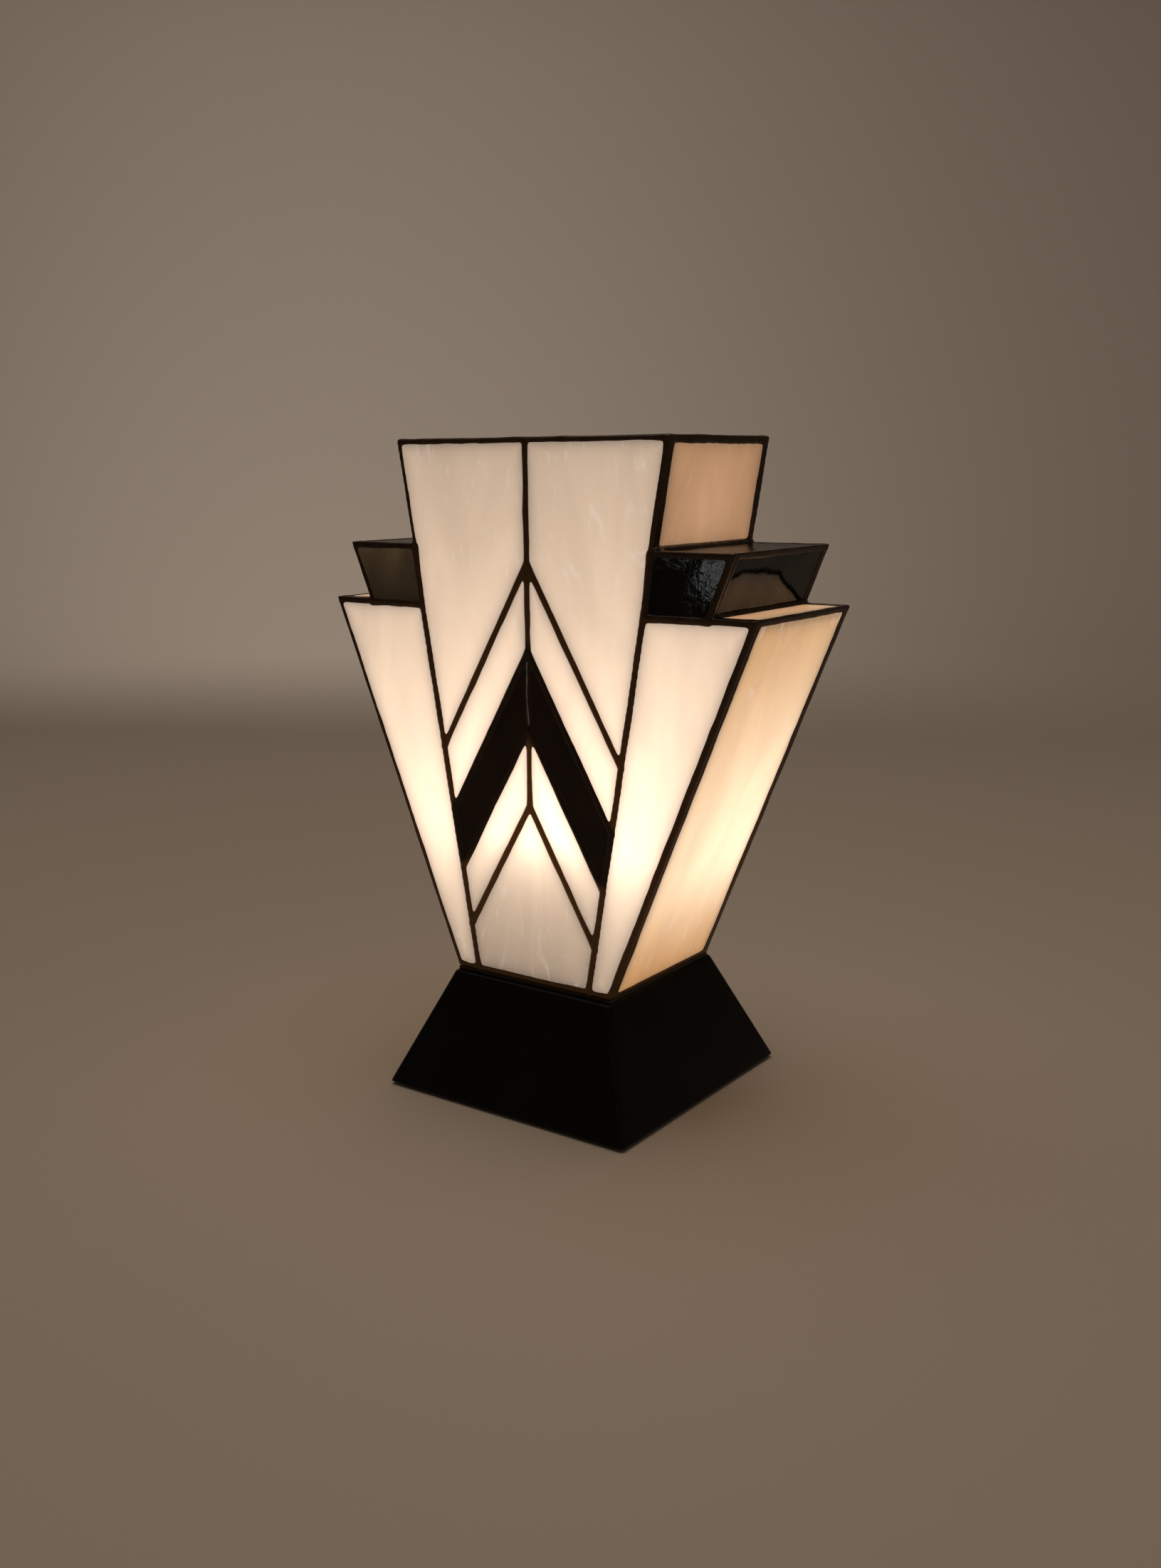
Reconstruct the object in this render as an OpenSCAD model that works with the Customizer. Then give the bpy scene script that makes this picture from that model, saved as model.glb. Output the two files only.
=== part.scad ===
// Stained glass table lamp: a stepped fan of leaded glass on a square tapered black plinth.
// Front faces -Y, +Z is up, and the origin is the middle of the face that it rests on.

/* [Plinth] */
// Thickness of the felt pads under the plinth
pad_t = 1.5; // [1:0.5:4]
// Radius of each felt pad
pad_r = 7; // [5:0.5:8]
// Width and depth of the plinth at its foot
plinth_foot_w = 134; // [106:1:170]
// Height of the plinth's boards
plinth_h = 53.5; // [44:0.5:75]
// How far the plinth's top stands out past the shade's foot
rim_w = 0.8; // [0.4:0.1:6]
// Thickness of the sloping side boards
board_t = 9; // [6:0.5:12]
// Thickness of the board that closes the plinth's top
top_board_t = 12; // [9:0.5:16]
// Thickness of the cover under the plinth
cover_t = 3; // [2.5:0.5:6]
// Gap between the cover and the boards round it
cover_gap = 0.4; // [0.2:0.1:1]
// Height of the glue blocks in the plinth's corners
block_h = 20; // [14:1:26]
// Leg of each triangular glue block at its top
block_leg = 26; // [22:1:30]

/* [Shade outline] */
// Thickness of the metal plate under the shade
plate_t = 1.5; // [1:0.1:3]
// Depth of the shade from front to back
shade_depth = 83; // [69:1:120]
// Width of the shade at its foot
foot_w = 86.4; // [76:0.4:108]
// Width across the two white wings at their tops
wing_w = 228; // [190:1:280]
// Height of the white wings
wing_h = 171.2; // [140:0.2:210]
// Depth of the step from a white wing to the black tier above it
step_w = 21.4; // [12:0.2:26]
// Height of the black tier
tier_h = 26; // [20:0.5:40]
// Height of the crown above the black tier
crown_h = 46.3; // [36:0.1:70]
// Width of the middle column at its foot
column_foot_w = 62.6; // [50:0.2:70]
// Width of the middle column at its top
column_top_w = 145.6; // [120:0.2:160]

/* [Chevrons] */
// Slope of the chevrons from the horizontal
chevron_angle = 60; // [50:1:66]
// Height of the lowest chevron's point above the shade's foot
chevron_1_h = 82.8; // [70:0.2:100]
// Height of the black chevron's lower point above the shade's foot
chevron_2_h = 117.4; // [104:0.2:136]
// Height of the black chevron's upper point above the shade's foot
chevron_3_h = 152; // [140:0.2:168]
// Height of the top chevron's point above the shade's foot
chevron_4_h = 190.3; // [172:0.2:210]

/* [Glass and leading] */
// Thickness of the glass
glass_t = 3; // [2:0.1:4]
// How far the leading stands proud of the glass on each side
leading_proud = 0.2; // [0.1:0.1:0.6]
// Width of a leading line between two panes
line_w = 3; // [2:0.1:5]
// Width of the leading along a panel's foot and the top of its wings
border_w = 3; // [2:0.1:5]
// Width of the leading down a panel's outer edges
edge_w = 2.2; // [1.6:0.1:4]
// Width of the leading along each side of the column
column_line_w = 3.4; // [2:0.1:5]
// Width of the leading along the shade's top edge
top_w = 2; // [1.6:0.1:4]
// Width of the leading beside each fold of the side panels
fold_w = 2; // [1:0.1:3]
// Width of the leading between a side pane and the front or back panel
return_w = 1.2; // [0.4:0.1:2]

/* [Screws] */
// Shank radius of the wood screws
screw_r = 1.5; // [1:0.1:2]
// Length of the wood screws under the head's top
screw_l = 11; // [8:0.5:12]
// Head radius of the wood screws
screw_head_r = 2.9; // [2.2:0.1:3.6]
// Depth of the wood screws' countersunk head
screw_head_h = 1.4; // [1:0.1:1.5]
// Clearance round a screw in its hole
screw_gap = 0.05; // [0.03:0.01:0.2]
// Distance of the plate's screws from the middle
plate_screw_d = 27; // [24:0.5:28]

/* [Cord inlet] */
// Radius of the cord hole through the grommet
cord_r = 3.5; // [2.5:0.1:4]
// Radius of the grommet's waist in the back board
grommet_r = 6; // [5:0.1:7]
// Radius of the grommet's two flanges
grommet_flange_r = 8; // [7:0.1:9]
// Thickness of each grommet flange
grommet_flange_t = 2; // [1.5:0.1:3]
// Height of the cord inlet on the back board
inlet_h = 20; // [18:0.5:26]

/* [Lamp holder] */
// Outer radius of the threaded tube that holds the lamp holder
tube_r = 5; // [4:0.1:6]
// Bore radius of the threaded tube
tube_bore_r = 3.5; // [2.5:0.1:4]
// Clearance round the threaded tube
tube_gap = 0.25; // [0.1:0.05:0.5]
// Depth that the threaded tube enters the lamp holder
tube_grip = 8; // [6:0.5:10]
// Width of the nut across its flats
nut_af = 15; // [14:0.5:18]
// Thickness of the nut
nut_t = 5; // [3:0.5:6]
// Thickness of the washer
washer_t = 1.2; // [0.8:0.1:2]
// Radius of the washer
washer_r = 10; // [8.5:0.5:12]
// Outer radius of the lamp holder
holder_r = 19; // [18:0.5:22]
// Height of the lamp holder's base, up to its joint
holder_base_h = 15.5; // [14:0.5:20]
// Height of the screwed joint between the holder's base and body
holder_joint_h = 5; // [4:0.5:8]
// Height of the lamp holder's body
holder_body_h = 28; // [28:0.5:36]
// Wall of the brass liner in the lamp holder
liner_wall = 0.5; // [0.3:0.1:0.8]
// Running clearance between the bulb's cap and the brass liner
cap_gap = 0.08; // [0.02:0.01:0.1]

/* [Bulb] */
// Radius of the bulb's screw cap
cap_r = 13.12; // [12.9:0.01:13.2]
// Height of the bulb's screw cap
cap_h = 20; // [18:0.5:22]
// Wall of the bulb's screw cap
cap_wall = 0.4; // [0.3:0.1:0.6]
// Height of the contact and its insulator under the cap
tip_h = 4.5; // [4:0.1:6]
// Radius of the bulb's glass at its widest
bulb_r = 27.5; // [22.5:0.5:30]
// Height of the bulb's glass above its cap
bulb_h = 73; // [66:1:80]
// Wall of the bulb's glass
bulb_wall = 0.9; // [0.6:0.1:1.2]

/* [Hidden] */
$fn = 64;
over = 1;
faces = ["front", "back"];
sides = ["left", "right"];
side_kinds = ["lower", "lower_step", "black", "black_step", "crown"];
half_kinds = ["crown", "outer_chevron", "black_chevron", "inner_chevron", "wing", "tier"];

// Heights of the levels, from the table up.
plinth_z = pad_t + plinth_h;
foot_z = plinth_z + plate_t;
wing_z = foot_z + wing_h;
tier_z = wing_z + tier_h;
top_z = tier_z + crown_h;

// Slopes of the shade's edges, as sideways growth per millimetre of height.
wing_lean = (wing_w - foot_w) / 2 / wing_h;
column_lean = (column_top_w - column_foot_w) / 2 / (top_z - foot_z);
tier_foot_x = wing_w / 2 - step_w;
tier_top_x = tier_foot_x + tier_h * wing_lean;

// Thickness of a leaded panel and the places of its faces.
panel_t = glass_t + 2 * leading_proud;
inner_y = shade_depth / 2 - panel_t;

// Plinth: half width at a height, and the boards' thickness measured level.
plinth_top_w = max(foot_w, shade_depth) + 2 * rim_w;
plinth_lean = (plinth_foot_w - plinth_top_w) / 2 / plinth_h;
plinth_slope = atan(plinth_lean);
wall_w = board_t / cos(plinth_slope);
cover_top = pad_t + cover_t;
block_top = cover_top + block_h;
block_cut = 2 * (plinth_half(block_top) - wall_w) - block_leg;
cover_half = plinth_half(cover_top) - wall_w - cover_gap;
pad_margin = 1;
pad_x = cover_half - pad_r - pad_margin;
cover_screw_x = pad_x;
pad_to_screw = 6;
cover_screw_y = pad_x - pad_r - screw_head_r - pad_to_screw;
screw_slot_w = 0.8;
screw_slot_d = 0.6;

// Lamp holder and bulb levels.
holder_z = foot_z;
joint_z = holder_z + holder_base_h;
liner_z = joint_z + holder_joint_h;
holder_top = joint_z + holder_body_h;
liner_r = cap_r + cap_gap;
liner_out_r = liner_r + liner_wall;
seat_gap = 0.05;
holder_bore_r = liner_out_r + seat_gap;
holder_wall = 2.6;
spigot_r = holder_r - holder_wall;
spigot_bore_r = holder_bore_r + 0.2;
cavity_r = 10;
liner_drop = 1;
contact_t = 0.8;
contact_w = 5;
contact_l = 22;
contact_drop = 1.4;
contact_z = liner_z - contact_drop;
contact_gap = 0.1;
tip_z = contact_z + contact_t + contact_gap;
tip_r = cap_r - 1.5;
pellet_r = 4.7;
pellet_h = 1.2;
tip_rim_h = 0.6;
cap_z = tip_z + tip_h + seat_gap;
cap_top = cap_z + cap_h;
bulb_top = cap_top + bulb_h;

function plinth_half(z) = plinth_foot_w / 2 - (z - pad_t) * plinth_lean;
function column_x(z) = column_foot_w / 2 + (z - foot_z) * column_lean;

// Height at which a chevron with its point at height v meets the column's edge.
function chevron_end(v) =
    (v - tan(chevron_angle) * (column_foot_w / 2 - foot_z * column_lean))
    / (1 + tan(chevron_angle) * column_lean);
function edge_point(v) = [column_x(chevron_end(v)), chevron_end(v)];
function point(h) = foot_z + h;

// The line from p to q, moved d to its left.
function shifted(p, q, d) = let (u = (q - p) / norm(q - p), n = [-u[1], u[0]] * d) [p + n, q + n];

// Where the line through a and b crosses the line through c and e.
function meet(a, b, c, e) =
    let (r = b - a, s = e - c, k = r[0] * s[1] - r[1] * s[0], w = c - a)
    a + r * (w[0] * s[1] - w[1] * s[0]) / k;
function meet_lines(l, m) = meet(l[0], l[1], m[0], m[1]);

// A counter-clockwise outline with each edge moved inwards by its own distance.
function inset(pts, ds) =
    let (n = len(pts), lines = [for (i = [0:n - 1]) shifted(pts[i], pts[(i + 1) % n], ds[i])])
    [for (i = [0:n - 1]) meet_lines(lines[(i + n - 1) % n], lines[i])];

// Outline of a chevron band between two point heights, in the right half of the column.
function band(low, high) = [[0, low], edge_point(low), edge_point(high), [0, high]];

// Each pane's own outline inside the leading, right half, by kind. The tier stands on the wing's top
// border, so the line at its foot runs on from that border.
function pane_outline(kind) =
    let (
        l = line_w / 2,
        c = column_line_w / 2,
        v1 = point(chevron_1_h),
        v2 = point(chevron_2_h),
        v3 = point(chevron_3_h),
        v4 = point(chevron_4_h),
        e1 = edge_point(v1),
        foot_x = column_x(foot_z)
    )
    kind == "crown" ? inset(
        [[0, v4], edge_point(v4), [column_x(top_z), top_z], [0, top_z]], [l, c, top_w, l]) :
    kind == "outer_chevron" ? inset(band(v3, v4), [l, c, l, l]) :
    kind == "black_chevron" ? inset(band(v2, v3), [l, c, l, l]) :
    kind == "inner_chevron" ? inset(band(v1, v2), [l, c, l, l]) :
    kind == "foot_pane" ? inset(
        [[-foot_x, foot_z], [foot_x, foot_z], e1, [0, v1], [-e1[0], e1[1]]],
        [border_w, c, l, l, c]) :
    kind == "wing" ? inset(
        [[foot_x, foot_z], [foot_w / 2, foot_z], [wing_w / 2, wing_z], [column_x(wing_z), wing_z]],
        [border_w, edge_w, border_w, c]) :
    inset(
        [[column_x(wing_z), wing_z], [tier_foot_x, wing_z], [tier_top_x, tier_z],
         [column_x(tier_z), tier_z]],
        [line_w - border_w, edge_w, border_w, c]);

// The shade's right edge from its foot up, and the same edge moved inwards by d.
side_path = [
    [foot_w / 2, foot_z], [wing_w / 2, wing_z], [tier_foot_x, wing_z],
    [tier_top_x, tier_z], [column_x(tier_z), tier_z], [column_x(top_z), top_z]
];
folds = len(side_path) - 1;
function side_line(i, d) = shifted(side_path[i], side_path[i + 1], d);
function level(z) = [[0, z], [1, z]];
function side_at(d) = concat(
    [meet_lines(level(foot_z), side_line(0, d))],
    [for (i = [1:folds - 1]) meet_lines(side_line(i - 1, d), side_line(i, d))],
    [meet_lines(side_line(folds - 1, d), level(top_z))]
);
function reversed(pts) = [for (i = [len(pts) - 1:-1:0]) pts[i]];
function mirrored(pts) = [for (p = pts) [-p[0], p[1]]];
shade_outline = concat(side_path, reversed(mirrored(side_path)));

// Cross-section of side pane i, between the depths d0 and d1 under the outer face.
function side_section(i, d0, d1) =
    let (
        o = side_at(d0),
        n = side_at(d1),
        u = (side_path[i + 1] - side_path[i]) / norm(side_path[i + 1] - side_path[i]),
        m0 = u * (i == 0 ? border_w : fold_w),
        m1 = u * (i == folds - 1 ? top_w : fold_w)
    )
    [o[i] + m0, o[i + 1] - m1, n[i + 1] - m1, n[i] + m0];

// An outline in X and Z, extruded from y0 to y1.
module slab(pts, y0, y1) {
    translate([0, y1, 0]) rotate([90, 0, 0]) linear_extrude(y1 - y0) polygon(pts);
}

// Turns a piece drawn for the front to the back, or for the right to the left.
module facing(face) {
    if (face == "back") mirror([0, 1, 0]) children();
    else children();
}
module siding(side) {
    if (side == "left") mirror([1, 0, 0]) children();
    else children();
}

module white_glass() { color([0.96, 0.88, 0.74]) children(); }
module black_glass() { color([0.07, 0.08, 0.08]) children(); }
module lead() { color([0.16, 0.11, 0.08]) children(); }
module painted_wood() { color([0.03, 0.03, 0.03]) children(); }

// One pane of the front or back panel, named by its kind.
module panel_pane(face, kind, side) {
    facing(face) siding(side)
        slab(pane_outline(kind), leading_proud - shade_depth / 2, -inner_y - leading_proud);
}

module coloured_pane(face, kind, side) {
    if (kind == "black_chevron" || kind == "tier") black_glass() panel_pane(face, kind, side);
    else white_glass() panel_pane(face, kind, side);
}

// The leading of the front or back panel: the whole outline less its panes.
module panel_leading(face) {
    lead() facing(face) difference() {
        slab(shade_outline, -shade_depth / 2, -inner_y);
        for (kind = half_kinds) for (side = sides) siding(side)
            slab(pane_outline(kind), -shade_depth / 2 - over, -inner_y + over);
        slab(pane_outline("foot_pane"), -shade_depth / 2 - over, -inner_y + over);
    }
}

// One pane of a side, between the front and back panels.
module side_pane(side, i) {
    siding(side) slab(
        side_section(i, leading_proud, leading_proud + glass_t),
        -inner_y + return_w, inner_y - return_w);
}

module coloured_side_pane(side, i) {
    if (side_kinds[i] == "black" || side_kinds[i] == "black_step") black_glass() side_pane(side, i);
    else white_glass() side_pane(side, i);
}

// The leading of one side: a folded strip less its panes.
module side_leading(side) {
    lead() siding(side) difference() {
        slab(concat(side_at(0), reversed(side_at(panel_t))), -inner_y, inner_y);
        for (i = [0:folds - 1])
            slab(side_section(i, -over, panel_t + over), -inner_y + return_w, inner_y - return_w);
    }
}

// Places its child at the four corners of a rectangle.
module corners(x, y) {
    for (sx = [-1, 1]) for (sy = [-1, 1]) translate([sx * x, sy * y, 0]) children();
}

// Metal plate that the shade is soldered to and the plinth is screwed to.
module shade_plate() {
    color([0.30, 0.27, 0.16]) difference() {
        translate([-foot_w / 2, -shade_depth / 2, plinth_z]) cube([foot_w, shade_depth, plate_t]);
        translate([0, 0, plinth_z - over]) cylinder(h = plate_t + 2 * over, r = tube_r + tube_gap);
        corners(plate_screw_d, plate_screw_d) screw_hole_down(foot_z);
    }
}

// The plinth's solid between two heights, with its faces moved in by d measured level.
module plinth_solid(z0, z1, d) {
    a = plinth_half(z0) - d;
    b = plinth_half(z1) - d;
    side_view = [[-a, z0], [a, z0], [b, z1], [-b, z1]];
    intersection() {
        slab(side_view, -plinth_foot_w, plinth_foot_w);
        rotate([0, 0, 90]) slab(side_view, -plinth_foot_w, plinth_foot_w);
    }
}

// One mitred sloping board, drawn at the front and turned to its side.
module plinth_board(turn) {
    rotate([0, 0, turn]) intersection() {
        difference() {
            plinth_solid(pad_t, plinth_z, 0);
            plinth_solid(pad_t - over, plinth_z + over, wall_w);
        }
        linear_extrude(plinth_z + over)
            polygon([[0, 0], [-plinth_foot_w, -plinth_foot_w], [plinth_foot_w, -plinth_foot_w]]);
    }
}

module front_board() { painted_wood() plinth_board(0); }
module right_board() { painted_wood() plinth_board(90); }
module left_board() { painted_wood() plinth_board(-90); }
module back_board() {
    painted_wood() difference() {
        plinth_board(180);
        at_inlet() translate([0, 0, -2 * board_t]) cylinder(h = 3 * board_t, r = grommet_r);
    }
}

// Moves a child to the cord inlet, with +Z out of the back board's face.
module at_inlet() {
    translate([0, plinth_half(inlet_h), inlet_h]) rotate([plinth_slope - 90, 0, 0]) children();
}

module top_board() {
    color([0.55, 0.42, 0.28]) difference() {
        plinth_solid(plinth_z - top_board_t, plinth_z, wall_w);
        translate([0, 0, plinth_z - top_board_t - over])
            cylinder(h = top_board_t + 2 * over, r = tube_r + tube_gap);
        corners(plate_screw_d, plate_screw_d) screw_hole_down(foot_z);
    }
}

module bottom_cover() {
    color([0.25, 0.18, 0.12]) difference() {
        translate([-cover_half, -cover_half, pad_t]) cube([2 * cover_half, 2 * cover_half, cover_t]);
        corners(cover_screw_x, cover_screw_y) screw_hole_up(pad_t);
    }
}

module glue_blocks() {
    color([0.62, 0.48, 0.32]) difference() {
        plinth_solid(cover_top, block_top, wall_w);
        rotate([0, 0, 45]) translate([0, 0, block_top / 2])
            cube([sqrt(2) * block_cut, sqrt(2) * block_cut, 2 * block_top], center = true);
        corners(cover_screw_x, cover_screw_y) screw_hole_up(pad_t);
    }
}

module felt_pads() {
    color([0.10, 0.25, 0.16]) corners(pad_x, pad_x) cylinder(h = pad_t, r = pad_r);
}

// A countersunk screw with its head's top at the origin, pointing down.
module screw_body(gap) {
    translate([0, 0, -screw_l - gap]) cylinder(h = screw_l + gap, r = screw_r + gap);
    translate([0, 0, -screw_head_h])
        cylinder(h = screw_head_h, r1 = screw_r + gap, r2 = screw_head_r + gap);
}
module screw_hole_down(z) {
    translate([0, 0, z]) {
        screw_body(screw_gap);
        cylinder(h = over, r = screw_head_r + screw_gap);
    }
}
module screw_hole_up(z) {
    translate([0, 0, z]) rotate([180, 0, 0]) {
        screw_body(screw_gap);
        cylinder(h = over, r = screw_head_r + screw_gap);
    }
}
module slotted_screw() {
    difference() {
        screw_body(0);
        translate([-screw_head_r, -screw_slot_w / 2, -screw_slot_d])
            cube([2 * screw_head_r, screw_slot_w, over]);
    }
}
module wood_screws() {
    color([0.72, 0.60, 0.30]) {
        corners(plate_screw_d, plate_screw_d) translate([0, 0, foot_z]) slotted_screw();
        corners(cover_screw_x, cover_screw_y) translate([0, 0, pad_t]) rotate([180, 0, 0])
            slotted_screw();
    }
}

// Rubber grommet with a flange on each side of the back board.
module cord_grommet() {
    color([0.05, 0.05, 0.05]) at_inlet() difference() {
        union() {
            translate([0, 0, -board_t]) cylinder(h = board_t, r = grommet_r);
            cylinder(h = grommet_flange_t, r = grommet_flange_r);
            translate([0, 0, -board_t - grommet_flange_t])
                cylinder(h = grommet_flange_t, r = grommet_flange_r);
        }
        translate([0, 0, -2 * board_t]) cylinder(h = 3 * board_t, r = cord_r);
    }
}

tube_below_nut = 2;
tube_low = plinth_z - top_board_t - washer_t - nut_t - tube_below_nut;
tube_top = holder_z + tube_grip;
module threaded_tube() {
    color([0.75, 0.62, 0.30]) translate([0, 0, tube_low]) difference() {
        cylinder(h = tube_top - tube_low, r = tube_r);
        translate([0, 0, -over]) cylinder(h = tube_top - tube_low + 2 * over, r = tube_bore_r);
    }
}

// Washer and nut under the top board.
module tube_nut() {
    color([0.70, 0.70, 0.68]) difference() {
        union() {
            translate([0, 0, plinth_z - top_board_t - washer_t]) cylinder(h = washer_t, r = washer_r);
            translate([0, 0, plinth_z - top_board_t - washer_t - nut_t])
                cylinder(h = nut_t, r = nut_af / 2 / cos(30), $fn = 6);
        }
        translate([0, 0, tube_low]) cylinder(h = tube_top - tube_low, r = tube_r + screw_gap);
    }
}

// Insulating base of the lamp holder: a cup on the tube with a spigot for the body.
module holder_base() {
    cup_r = holder_r - 6;
    floor_z = holder_z + tube_grip;
    color([0.08, 0.07, 0.06]) rotate_extrude() polygon([
        [tube_r + screw_gap, holder_z], [cup_r, holder_z], [holder_r - 2, holder_z + 5],
        [holder_r, holder_z + 10], [holder_r, joint_z], [spigot_r, joint_z], [spigot_r, liner_z],
        [spigot_bore_r, liner_z], [spigot_bore_r, contact_z], [cavity_r, contact_z],
        [cavity_r, floor_z], [tube_r + screw_gap, floor_z]
    ]);
}

// Brass tongue across the holder that the bulb's tip presses on.
module holder_contact() {
    color([0.80, 0.66, 0.32]) translate([-contact_l / 2, -contact_w / 2, contact_z])
        cube([contact_l, contact_w, contact_t]);
}

// Insulating skirt of the lamp holder, screwed on the base and round the brass liner.
module holder_body() {
    collar_r = holder_r + 2;
    collar_z = holder_top - 6;
    color([0.08, 0.07, 0.06]) rotate_extrude() polygon([
        [spigot_r + seat_gap, joint_z], [holder_r, joint_z], [holder_r, collar_z - 1],
        [collar_r, collar_z], [collar_r, holder_top - 1], [collar_r - 1, holder_top],
        [holder_bore_r, holder_top], [holder_bore_r, liner_z + seat_gap],
        [spigot_r + seat_gap, liner_z + seat_gap]
    ]);
}

// Brass liner that carries the thread for the bulb's cap.
module holder_liner() {
    color([0.80, 0.66, 0.32]) translate([0, 0, liner_z + seat_gap]) difference() {
        cylinder(h = holder_top - liner_drop - liner_z, r = liner_out_r);
        translate([0, 0, -over]) cylinder(h = holder_top - liner_z + 2 * over, r = liner_r);
    }
}

// Contact pellet and black insulator under the bulb's cap.
module bulb_tip() {
    color([0.30, 0.30, 0.30]) rotate_extrude() polygon([
        [0, tip_z], [pellet_r, tip_z], [pellet_r, tip_z + pellet_h],
        [tip_r, tip_z + tip_h - tip_rim_h], [tip_r, tip_z + tip_h], [0, tip_z + tip_h]
    ]);
}

// Screw cap of the bulb: a thin cup.
module bulb_cap() {
    color([0.80, 0.80, 0.78]) rotate_extrude() polygon([
        [0, cap_z], [cap_r, cap_z], [cap_r, cap_top], [cap_r - cap_wall, cap_top],
        [cap_r - cap_wall, cap_z + cap_wall], [0, cap_z + cap_wall]
    ]);
}

// The bulb's glass: a ball on a neck that narrows into the cap, with a thin wall.
ball_z = bulb_top - bulb_r;
ball_start = -35;
neck_r = cap_r - cap_wall - 0.1;
neck_z = cap_top - 5;
neck_flare = [3, 12];
neck_steps = 8;
ball_steps = 20;
function ball(r, a) = [r * cos(a), ball_z + r * sin(a)];
function neck(t, w) =
    let (s = [neck_r - w, cap_top], q = s + neck_flare, p = ball(bulb_r - w, ball_start))
    (1 - t) * (1 - t) * s + 2 * t * (1 - t) * q + t * t * p;
function glass_line(w) = concat(
    [[neck_r - w, neck_z]],
    [for (i = [0:neck_steps - 1]) neck(i / neck_steps, w)],
    [for (i = [0:ball_steps]) ball(bulb_r - w, ball_start + (90 - ball_start) * i / ball_steps)]);
module bulb_glass() {
    color([1, 0.97, 0.90]) rotate_extrude()
        polygon(concat(glass_line(0), reversed(glass_line(bulb_wall))));
}

for (f = faces) for (k = half_kinds) for (s = sides)
    coloured_pane(f, k, s);
for (f = faces) coloured_pane(f, "foot_pane", "right");
for (s = sides) for (i = [0:folds - 1])
    coloured_side_pane(s, i);
for (f = faces) panel_leading(f);
for (s = sides) side_leading(s);
shade_plate();
front_board();
back_board();
left_board();
right_board();
top_board();
bottom_cover();
glue_blocks();
felt_pads();
wood_screws();
cord_grommet();
threaded_tube();
tube_nut();
holder_base();
holder_contact();
holder_body();
holder_liner();
bulb_tip();
bulb_cap();
bulb_glass();
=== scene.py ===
"""Stained glass table lamp: a stepped fan of leaded opal glass on a black plinth, lit from inside.

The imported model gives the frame. The glass, its leading, the plinth's boards, the lamp holder and the
bulb are built here as closed surfaces worked out with numpy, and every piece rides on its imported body.
Lengths are in metres, +Z is up, the front faces -Y, and the origin is under the middle of the plinth.
"""
import logging
import math
from dataclasses import dataclass, field, replace
from enum import Enum
from functools import cache
from typing import Callable, Iterable, Sequence

import bpy
import numpy as np
from mathutils import Matrix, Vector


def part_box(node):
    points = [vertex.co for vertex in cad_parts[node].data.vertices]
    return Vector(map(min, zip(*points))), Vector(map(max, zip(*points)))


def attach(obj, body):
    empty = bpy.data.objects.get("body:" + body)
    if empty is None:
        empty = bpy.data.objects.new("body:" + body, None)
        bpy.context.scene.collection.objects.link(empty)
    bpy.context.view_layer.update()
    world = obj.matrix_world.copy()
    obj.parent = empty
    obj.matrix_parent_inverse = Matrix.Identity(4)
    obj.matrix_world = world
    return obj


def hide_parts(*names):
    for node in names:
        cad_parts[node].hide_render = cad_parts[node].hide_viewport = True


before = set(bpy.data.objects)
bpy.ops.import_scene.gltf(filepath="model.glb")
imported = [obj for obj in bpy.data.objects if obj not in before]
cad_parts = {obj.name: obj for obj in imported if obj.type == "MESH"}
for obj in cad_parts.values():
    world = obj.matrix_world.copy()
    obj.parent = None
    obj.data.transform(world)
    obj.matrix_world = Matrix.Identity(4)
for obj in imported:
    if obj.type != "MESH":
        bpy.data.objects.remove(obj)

MM = 0.001
LOG = logging.getLogger("table_lamp")
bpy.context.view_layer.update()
LAMP_BODY = "lamp"
BULB_BODY = "bulb"
TIP_BODY = "bulb_core"

Colour = tuple[float, float, float]
Random = np.random.Generator
Socket = bpy.types.NodeSocket
MIRROR = np.array([-1.0, 1.0])


class Face(Enum):
    """The two flat leaded panels."""

    FRONT = "front"
    BACK = "back"

    @property
    def way(self) -> float:
        """1 for the front and -1 for the back."""
        return 1.0 if self is Face.FRONT else -1.0


class Side(Enum):
    """The two folded sides."""

    LEFT = "left"
    RIGHT = "right"

    @property
    def way(self) -> float:
        """The side's sign along X."""
        return 1.0 if self is Side.RIGHT else -1.0


class Glass(Enum):
    """The kinds of sheet that the panes are cut from."""

    PANEL_WHITE = "panel_white"
    WING_WHITE = "wing_white"
    SIDE_WHITE = "side_white"
    CROWN_SIDE_WHITE = "crown_side_white"
    STEP_WHITE = "step_white"
    BLACK = "black"
    CHEVRON_BLACK = "chevron_black"
    STEP_BLACK = "step_black"
    # black glass with more painted light coming through it
    BACKLIT_BLACK = "backlit_black"

    @property
    def dark(self) -> bool:
        """Whether it is one of the black glasses."""
        return self.value.endswith("black")


# --- Shader building ---


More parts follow.
